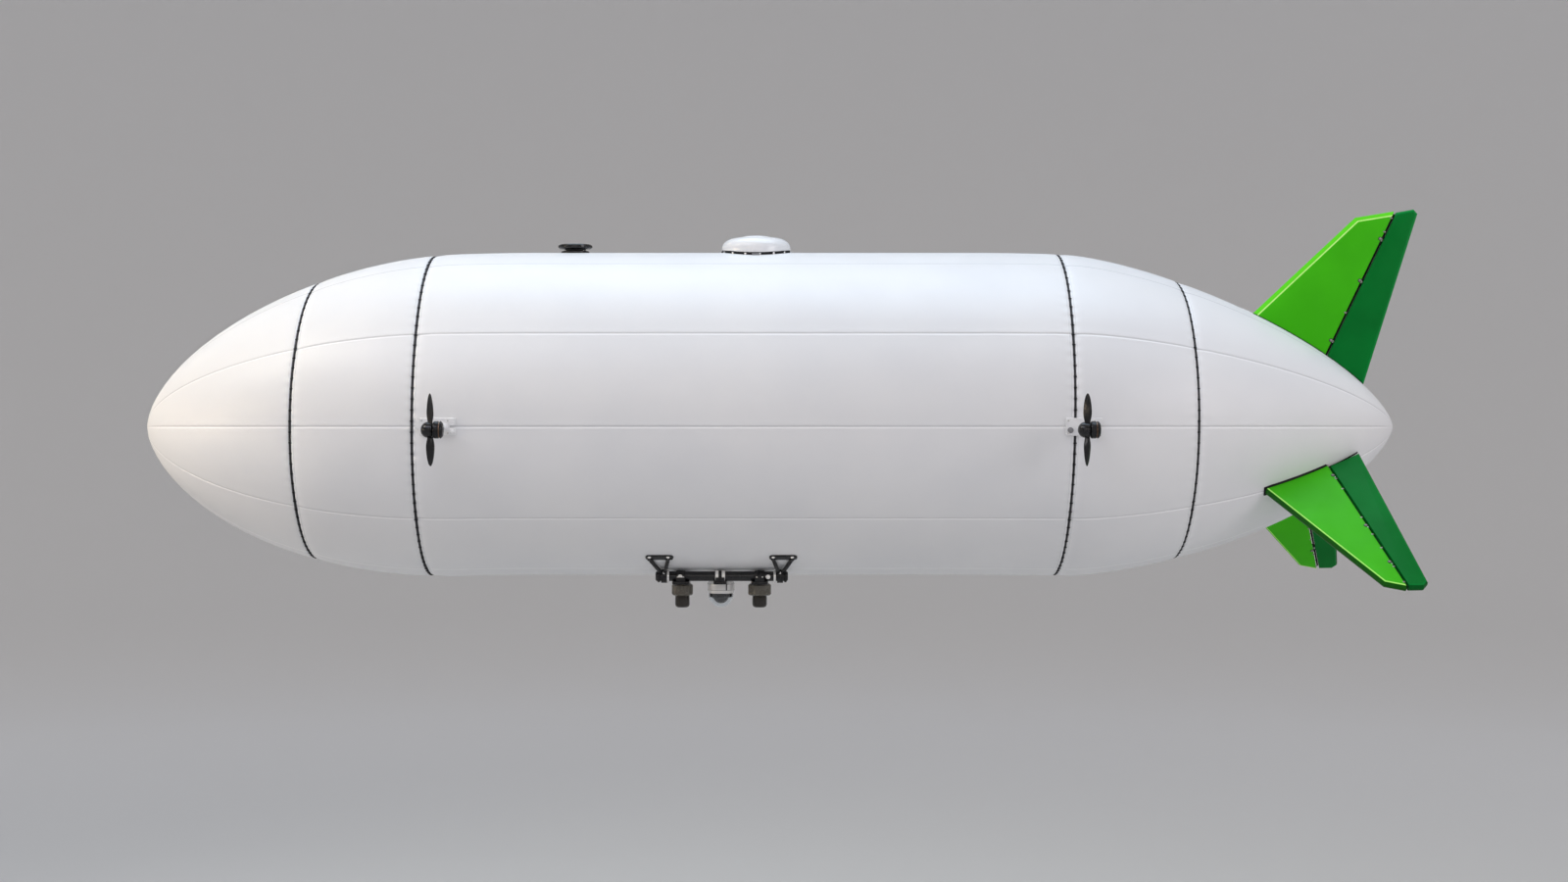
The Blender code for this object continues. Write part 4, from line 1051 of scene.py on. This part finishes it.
def mount_plate(end):
    """The plate on the envelope, with its raised border, the arm and the motor's cradle."""
    x, y, notch = 0.088, 0.043, 0.058
    outline = [(-x, -y), (x, -y), (x, -0.006), (notch, -0.006), (notch, 0.006), (x, 0.006), (x, y), (-x, y)]
    outline = softened(outline, 0.007, closed=True)
    on_hull = shift(0.010, 0, -ARM_LENGTH)
    border = flat_ring(inset(outline, [0.0045] * len(outline)), 0.0085)
    foot_z = -ARM_LENGTH + 0.004
    flare = [(0, 0.030), (0.011, 0.030), (0.0125, 0.012), (0.018, 0.004), (0.026, 0.0), (0, 0)]
    shapes = [
        placed(slab(outline, 0.012, 0.0022), on_hull @ shift(0, 0, 0.0025)),
        placed(pipe(border + border[:1], 0.0018, 8), on_hull),
        bar((ARM_X, 0, foot_z), (ARM_X, 0, -MOTOR_RADIUS - 0.002), 0.0108, 32),
        moved(turned(flare, 40), ARM_X, 0, foot_z + 0.003),
        moved(block((0.036, 0.050, 0.0125), 0.004, 3), ARM_X, 0, CRADLE_Z),
    ]
    if end == "front":
        tongue = softened([(-0.104, 0.0), (-0.074, -0.022), (-0.074, 0.022)], 0.003, closed=True)
        shapes.append(moved(slab(tongue, 0.009, 0.0015), 0, 0, -ARM_LENGTH + 0.003))
    return joined(*shapes)


def mount_screws():
    """Small screws at the plate's corners and a clamp screw each side of the cradle."""
    corners = [shift(x, y, -ARM_LENGTH + 0.0085) for x in (-0.066, 0.060) for y in (-0.030, 0.030)]
    sides = [shift(ARM_X, side * 0.0245, CRADLE_Z) @ spin(-side * 90, "X") for side in (-1, 1)]
    return joined(copies(socket_screw(0.0045, 0.0035), corners), copies(socket_screw(0.0042, 0.004), sides))


def mount_knob(end):
    """The large domed fixing: low at the front of a rear unit, aft on a front unit."""
    x, y = (0.080, -0.024) if end == "front" else (-0.056, -0.016)
    return moved(bolt(0.0105, 0.010, 32), x, y, -ARM_LENGTH + 0.008)


def add_unit(end, side_name):
    unit = f"{end}_{side_name}"
    body = unit + "_propeller"
    x, y, z = JOINTS[body + "_spin"]["pos_m"]
    place = facing((x, -abs(y), z), to_left(MOUNT_DROP), AFT)
    if side_name == "right":
        place = MIRROR @ place
    windings = ring(0.034, MOTOR_RADIUS - 0.0030, 0.0052, 0.0015, 56)
    knob_look = "white_plastic" if end == "front" else "grey_plug"
    pieces = (
        ("blades", propeller_blades(), "propeller_black", body, body),
        ("spinner", spinner(), "propeller_black", None, body),
        ("motor_can", motor(), "black_metal", unit + "_motor"),
        ("motor_rings", placed(windings, shift(0.0435, 0, 0) @ ALONG_X), "bronze"),
        ("mount_body", mount_plate(end), "white_plastic", unit + "_motor_mount"),
        ("mount_screws", mount_screws(), "silver"),
        ("mount_knob", mount_knob(end), knob_look, None, "airframe", None),
    )
    for name, shape, *facts in pieces:
        add(f"{unit}_{name}", placed(shape, place), *facts)


# Sensor rig: shaped for the left side and mirrored


def on_tube(x, y=0.0, z=0.0):
    """A place that far from the left tube's axis."""
    return shift(x, TUBE_Y + y, TUBE_Z + z)


def tube_ring(x, gap, wall, length, soft):
    """A collar round the left tube."""
    return placed(ring(TUBE_RADIUS + gap, TUBE_RADIUS + wall, length, soft, 48), on_tube(x) @ ALONG_X)


def rig_tube():
    """The left tube with a plug in each end."""
    length = TUBE_HIGH.x - TUBE_LOW.x
    tube, plug = rod(TUBE_RADIUS, length - 0.006, 0.0015, 48), rod(TUBE_RADIUS - 0.004, length, 0.002, 48)
    return placed(joined(tube, plug), on_tube(TUBE_X) @ ALONG_X)


def bracket_frame(end, outward):
    """On the envelope at the bracket's plate: X aft, Z outwards."""
    x, out = BRACKET_PLATE_X[end], to_left(BRACKET_DROP)
    return facing(Vector((x, 0, hull_centre(x))) + out * (hull_radius(x) + outward), out, AFT)


def bracket(end):
    """A bar with round ends on the envelope, two flat struts and the split clamp on the tube."""
    shapes = [placed(slab(rectangle(0.140, 0.044, 0.021), 0.011, 0.002), bracket_frame(end, 0.0028))]
    axis = on_tube(COLLAR_X[end]).translation
    for x in STRUT_FEET[end]:
        foot = bracket_frame(end, STRUT_LEVEL) @ Vector((x, -0.010, 0))
        out = (foot - axis).normalized()
        top = axis + out * (TUBE_RADIUS + 0.004)
        strut = slab(rectangle((foot - top).length, 0.0185, 0.006), 0.013, 0.0025)
        across = (foot - top).cross(AFT).normalized()
        shapes.append(placed(strut, facing((foot + top) / 2, across, out)))
        shapes.append(placed(rod(0.0105, 0.015, 0.002), facing(foot, across, out)))
    shapes.append(tube_ring(COLLAR_X[end], 0.0003, 0.009, 0.030, 0.0022))
    shapes.append(placed(block((0.030, 0.020, 0.016), 0.003, 3), on_tube(COLLAR_X[end], -0.026, 0.019)))
    outer_x = -0.027 if end == "front" else 0.027
    shapes.append(tube_ring(COLLAR_X[end] + outer_x, 0.0003, 0.006, 0.012, 0.0022))
    return joined(*shapes)


def bracket_bolts(end):
    """Bright bolts: two through the bar and one in the clamp's ear."""
    feet = [bracket_frame(end, STRUT_LEVEL) @ shift(x, 0.009, 0) for x in STRUT_FEET[end]]
    ear = placed(bolt(0.0042, 0.0045), on_tube(COLLAR_X[end], -0.036, 0.019) @ AGAINST_Y)
    return joined(copies(bolt(0.0068, 0.0065), feet), ear)


def shaft_ring(end):
    """The bright collar inboard of the clamp, with its set screw below."""
    x = SHAFT_RING_X[end]
    below = on_tube(x, -0.004, -TUBE_RADIUS - 0.003) @ spin(180, "X")
    return joined(tube_ring(x, 0.0003, 0.0045, 0.012, 0.0018), placed(bolt(0.0045, 0.006), below))


def add_cross_plate(end):
    """The flat bar under both tubes, with a saddle round each and cap screws in the saddles' feet."""
    node = end + "_cross_plate"
    low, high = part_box(node)
    middle = (low.x + high.x) / 2
    plate = slab(rectangle(high.x - low.x, high.y - low.y, 0.014), CROSS_PLATE_THICKNESS, 0.0018)
    shapes = [moved(plate, middle, 0, low.z + CROSS_PLATE_THICKNESS / 2)]
    saddle, foot = tube_ring(middle, 0.0004, 0.0045, 0.046, 0.0015), block((0.046, 0.0125, 0.020), 0.002)
    shapes += [moved(saddle, 0, y, 0) for y in (0, -2 * TUBE_Y)]
    feet = [side * TUBE_Y + y for side in (1, -1) for y in (-SADDLE_FOOT_Y, SADDLE_FOOT_Y)]
    shapes += [moved(foot, middle, y, TUBE_Z - 0.0145) for y in feet]
    add(node + "_body", joined(*shapes), "black_metal", node)
    spots = [shift(middle + x, y, TUBE_Z - 0.0048) for x in (-0.014, 0.014) for y in feet]
    add(node + "_screws", copies(socket_screw(0.0042, 0.0045, 16), spots), "silver")


def tube_clamps():
    """Bright clamp halves and set screws on the outer side of the tube."""
    shapes = [tube_ring(x, 0.0006, 0.0062, 0.017, 0.002) for x in (-0.2705, -0.2375)]
    for x, radius in ((-0.4555, 0.0090), (-0.0120, 0.0085)):
        shapes.append(placed(bolt(radius, 0.0060), on_tube(x, -TUBE_RADIUS - 0.0035, -0.002) @ AGAINST_Y))
    tab = block((0.0065, 0.0050, 0.0200), 0.0015)
    shapes.append(placed(tab, on_tube(-0.4375, -TUBE_RADIUS - 0.0012, -0.002)))
    return joined(*shapes)


def add_pod(end):
    """A many-sided sensor pod with a round lens barrel below."""
    node = end + "_sensor_pod"
    low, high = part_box(node)
    at = shift((low.x + high.x) / 2, 0, 0)
    outer = (high.x - low.x) / 2 / cos(pi / POD_SIDES[end])
    neck, wide = outer * 0.74, outer * 0.985
    profile = [(0, 0), (neck, 0), (neck, -0.012), (wide - 0.010, -0.014), (wide, -0.022)]
    profile = raised(profile, high.z)
    lower = [(wide, 0.009), (wide - 0.004, 0.003), (wide - 0.010, 0), (0.038, 0), (0, 0)]
    shape = faceted(profile + raised(lower, POD_STEP_Z), POD_SIDES[end], 0.004)
    add(end + "_pod_body", placed(shape, at), "pod_grey", node, sharp=22)
    barrel = [(0, 0.002), (0.0375, 0.002), (0.0375, -0.006), (0.0362, -0.0072), (0.0362, -0.0095)]
    barrel += [(0.0375, -0.0107)]
    rim = [(0.0375, 0.016), (0.0345, 0.006), (0.028, 0.0015), (0.025, 0), (0.0235, 0), (0.0225, 0.004)]
    rim += [(0, 0.004)]
    shape = turned(raised(barrel, POD_STEP_Z) + raised(rim, low.z), 56)
    add(end + "_pod_barrel", placed(shape, at), "pod_barrel")
    lens = [(0, 0.006), (0.022, 0.006), (0.022, 0.0035), (0.015, 0.0012), (0, 0.0004)]
    add(end + "_pod_lens", placed(turned(raised(lens, low.z), 40), at), "lens_glass")
    spots = [at @ shift(*polar(neck * 0.98, t), high.z - 0.0165) for t in turns(6, 0.5)]
    add(end + "_pod_screws", copies(socket_screw(0.0032, 0.0030, 16), spots), "silver")


def add_camera_housing():
    """The camera's bright shell, with its grooves, slot, pads and inner trim ring."""
    low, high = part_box("camera_housing")
    wide, top, bottom = (high.y - low.y) / 2, high.z, low.z
    at = shift(BALL.x, 0, 0)
    shell = [(0, top), (wide - 0.010, top), (wide - 0.001, top - 0.009), (wide - 0.001, bottom + 0.014)]
    shell += [(wide - 0.004, bottom + 0.011), (wide - 0.004, bottom + 0.002), (wide - 0.0055, bottom)]
    hollow = [(0.0652, bottom), (0.0652, top - 0.006), (0, top - 0.006)]
    shape = turned(softened(shell, 0.002) + hollow, 72)
    add("camera_shell", placed(shape, at), "pale_metal", "camera_housing")
    groove = ring(wide - 0.004, wide - 0.0004, 0.0012, 0.0003, 72)
    grooves = copies(groove, [at @ shift(0, 0, z) for z in (top - 0.014, bottom + 0.0165)])
    in_wall = spin(25, "Z") @ shift(0, -wide + 0.0015, (top + bottom) / 2 + 0.003)
    slot = placed(block((0.0065, 0.004, 0.036), 0.0015), at @ in_wall)
    add("camera_shell_slots", joined(grooves, slot), "black_rubber")
    spots = [at @ shift(x, y, top - 0.0025) for x in (-0.052, 0.052) for y in (-0.04, 0.04)]
    add("camera_shell_pads", copies(block((0.016, 0.010, 0.007), 0.0015), spots), "silver")
    trim = ring(0.0515, 0.0612, 0.026, 0.002, 56)
    add("camera_trim_ring", placed(trim, at @ shift(0, 0, bottom - 0.007)), "propeller_black", slot=None)


def add_camera_dome():
    low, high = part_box("camera_window")
    radius, rim = (high.y - low.y) / 2 - 0.0004, high.z
    centre = low.z + radius + 0.0004
    inner = radius - GLASS_WALL
    outside, inside = ([(r * cos(t), centre - r * sin(t)) for t in arc(16)] for r in (radius, inner))
    glass = hoop([(radius, rim)] + outside + inside[::-1] + [(inner, rim)], 72)
    add("camera_dome", moved(glass, BALL.x, 0, 0), "clear_dome", "camera_window")


def add_camera_head():
    """The fork that pans, and in it the ball that looks forwards and tilts."""
    at_ball = Matrix.Translation(BALL)
    fork = [moved(rod(0.047, 0.006, 0.0015, 48), 0, 0, 0.0495)]
    fork.append(moved(rod(0.012, 0.020, 0.001, 32), 0, 0, 0.058))
    arm = placed(slab(rectangle(0.056, 0.020, 0.009), 0.0045, 0.001), spin(90, "Y") @ spin(90, "X"))
    fork += [moved(arm, 0, side * 0.0450, 0.019) for side in (-1, 1)]
    add("camera_fork", placed(joined(*fork), at_ball), "black_metal", "camera_yoke", "camera_pan")
    forwards = spin(-90, "Y")
    barrel = [(0, 0.043), (0.0145, 0.043), (0.0165, 0.0415), (0.0165, 0.030), (0, 0.030)]
    trunnion = placed(rod(0.004, 0.089, 0.0006), ALONG_Y)
    head = placed(joined(ball(0.0416, 48), placed(turned(barrel, 40, 0.001), forwards), trunnion), at_ball)
    add("camera_head", head, "propeller_black", "camera_ball", "camera_tilt", "black_metal")
    lens = turned([(0, 0.0455), (0.007, 0.0448), (0.0135, 0.0432), (0.0135, 0.040), (0, 0.040)], 40)
    add("camera_lens", placed(lens, at_ball @ forwards), "lens_glass", body="camera_tilt")


def add_rig():
    for side_name, side in (("left", Matrix()), ("right", MIRROR)):
        name = side_name + "_tube"
        add(name, placed(rig_tube(), side), "propeller_black", side_name + "_rig_tube", slot="black_metal")
        add(name + "_clamps", placed(tube_clamps(), side), "silver")
        for end in COLLAR_X:
            node = f"{end}_{side_name}_bracket"
            add(node + "_body", placed(bracket(end), side), "black_metal", node)
            add(node + "_bolts", placed(joined(bracket_bolts(end), shaft_ring(end)), side), "silver")
    for end in ("front", "centre", "rear"):
        add_cross_plate(end)
    for end in ("front", "rear"):
        add_pod(end)
    add_camera_housing()
    add_camera_dome()
    add_camera_head()


# Antennas


def over_hull(x, y, outward):
    """A point straight above (x, y), that far out from the envelope's upper side."""
    radius = hull_radius(x) + outward
    return Vector((x, y, hull_centre(x) + sqrt(radius**2 - y**2)))


def antenna_box(node):
    """An antenna's middle along X, its half width and top, and the envelope's crest under it."""
    low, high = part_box(node)
    x = (low.x + high.x) / 2
    return x, (high.x - low.x) / 2, high.z, hull_centre(x) + hull_radius(x)


def add_dome():
    x, wide, top, crest = antenna_box("antenna_dome")
    sides = 96

    def hull_ring(radius, outward):
        """A ring of points round the dome, following the envelope's curve."""
        return [over_hull(x + a, b, outward) for a, b in (polar(radius, t) for t in turns(sides))]

    shoulder, flat, flat_radius = crest + 0.025, top - 0.013, 0.100
    foot = ((0.010, 0.0128), (0.0045, 0.0130), (0.0008, 0.0148), (0.0005, 0.0172))
    curve = []
    for t in arc(12):
        radius = flat_radius + (wide - 0.0005 - flat_radius) * cos(t)
        curve.append((radius, shoulder + (flat - shoulder) * sin(t)))
    lid = [(0.0815, 0.0006), (0.0805, 0.0004), (0.0790, -0.0004), (0.0780, 0.0006), (0.0750, 0.0042)]
    lid += [(0.0660, 0.0076), (0.0450, 0.0108), (0.0200, 0.0124), (0, 0.0127)]
    rings = [hull_ring(wide - inwards, outward) for inwards, outward in foot]
    for radius, z in curve + raised(lid, flat):
        rings.append([shift(x, 0, 0) @ point for point in circle(radius, z, sides)])
    points, faces = loft(rings)
    add("dome_cover", (points, faces + [tuple(range(sides))[::-1]]), "white_plastic", "antenna_dome")

    edge, inner = wide + 0.0025, wide - 0.020
    profile = [(inner, -0.004), (inner, 0.0125), (wide - 0.002, 0.0125), (edge - 0.0012, 0.0118)]
    profile += [(edge, 0.0100), (edge, 0.0060), (edge + 0.0002, 0.0), (edge, -0.004)]
    gasket = flipped(loft([hull_ring(radius, out) for radius, out in profile], endless=True))
    add("dome_gasket", gasket, "black_rubber", "antenna_dome_base", slot="black_metal")

    places = []
    for t in turns(15, 0.5):
        a, b = polar(edge, t)
        out = Vector((*polar(1, t), 0))
        places.append(Matrix.Translation(over_hull(x + a, b, 0.0062) - out * 0.0008) @ aimed(out))
    add("dome_bolts", copies(bolt(0.0042, 0.0040, 16), places), "silver")
    for side_name, side in (("left", -1), ("right", 1)):
        spot = over_hull(x - 0.002, side * (edge + 0.004), 0.0045)
        tilt = Matrix.Rotation(-asin(side * edge / hull_radius(x)), 4, "X")
        plug = placed(block((0.040, 0.014, 0.009), 0.002), Matrix.Translation(spot) @ tilt)
        add("dome_plug_" + side_name, plug, "grey_plug")


def add_disc_antenna():
    x, wide, top, crest = antenna_box("disc_antenna")
    wide -= 0.0005
    at = shift(x, 0, 0)
    disc = [(0, -0.0035), (0.060, -0.0035), (0.064, -0.0008), (0.067, 0)]
    disc += [(wide - 0.006, -0.001), (wide, -0.007)]
    stem = [(wide, 0.030), (wide - 0.003, 0.0255), (wide - 0.007, 0.0235), (0.058, 0.0225), (0.054, 0.019)]
    stem += [(0.054, 0.016), (0.060, 0.0125), (0.068, 0.0120), (0.0725, 0.0095), (0.0725, 0.003)]
    stem += [(0.0715, -0.006), (0, -0.006)]
    body = turned(softened(raised(disc, top) + raised(stem, crest), 0.0015), 80)
    add("disc_antenna_body", placed(body, at), "propeller_black", "disc_antenna", slot="black_metal")
    rib_z = (top + crest + 0.030) / 2 - 0.003
    spots = [at @ shift(*polar(wide * 0.997, t), rib_z) @ Matrix.Rotation(t, 4, "Z") for t in turns(24, 0.5)]
    add("disc_antenna_ribs", copies(block((0.004, 0.0035, 0.012), 0.001), spots), "black_metal")
    spots = [at @ shift(*polar(0.0655, t), crest + 0.0118) for t in turns(4, 0.5)]
    add("disc_antenna_screws", copies(socket_screw(0.0030, 0.0025, 16), spots), "silver")


# Studio


def add_stage():
    """A pale floor that curves up into a backdrop all round."""
    look = Look("studio_paper", FLOOR_COLOUR, 0.8)
    look.colour(look.mixed(look.attribute("outward"), FLOOR_COLOUR, WALL_COLOUR))
    profile = [(STAGE_FLAT * i / STAGE_STEPS, FLOOR_LEVEL) for i in range(STAGE_STEPS + 1)]
    for t in arc(STAGE_STEPS)[1:]:
        profile.append((STAGE_FLAT + STAGE_BEND * sin(t), FLOOR_LEVEL + STAGE_BEND * (1 - cos(t))))
    profile.append((STAGE_FLAT + STAGE_BEND, STAGE_TOP))
    shape = loft([circle(radius, height, 128) for radius, height in profile])
    near, far = FLOOR_FADE
    outward = [smooth_step((point.xy.length - near) / (far - near)) for point in shape[0]]
    make_object("studio_floor", shape, LOOKS["studio_paper"], {"outward": outward})


def add_light(name, place, target, size, power, colour, spread):
    light = bpy.data.lights.new(name, "AREA")
    light.shape = "RECTANGLE"
    light.size, light.size_y = size
    light.energy = power
    light.color = colour
    light.spread = radians(spread)
    obj = bpy.data.objects.new(name, light)
    obj.location = place
    obj.rotation_euler = (Vector(target) - Vector(place)).to_track_quat("-Z", "Y").to_euler()
    obj.visible_camera = False
    bpy.context.scene.collection.objects.link(obj)


def add_lights():
    world = bpy.data.worlds.new("studio_world")
    world.use_nodes = True
    background = world.node_tree.nodes["Background"].inputs
    background["Color"].default_value = (*WORLD_COLOUR, 1.0)
    background["Strength"].default_value = WORLD_STRENGTH
    bpy.context.scene.world = world
    for name, facts in LIGHTS.items():
        add_light(name, *facts)


def add_camera_view():
    width, height = PHOTO_SIZE
    camera = bpy.data.cameras.new("camera")
    camera.sensor_width = SENSOR_WIDTH
    camera.lens = FOCAL_PIXELS / width * SENSOR_WIDTH
    camera.shift_x = (width / 2 - PRINCIPAL_POINT[0]) / width
    camera.shift_y = -(height / 2 - PRINCIPAL_POINT[1]) / width
    camera.clip_end = 200
    obj = bpy.data.objects.new("camera", camera)
    obj.location = (CAMERA_X, -CAMERA_DISTANCE, 0)
    obj.rotation_euler = (radians(90), 0, 0)
    bpy.context.scene.collection.objects.link(obj)
    bpy.context.scene.camera = obj
    bpy.context.scene.view_settings.view_transform = "Standard"


def main():
    make_looks()
    for name in SECTIONS:
        add_section(name)
    for number, x in enumerate(SEAM_X, 1):
        add_seam(number, x)
    add_tail()
    for end in ("front", "rear"):
        for side_name in ("left", "right"):
            add_unit(end, side_name)
    add_rig()
    add_dome()
    add_disc_antenna()
    add_stage()
    add_lights()
    add_camera_view()


main()
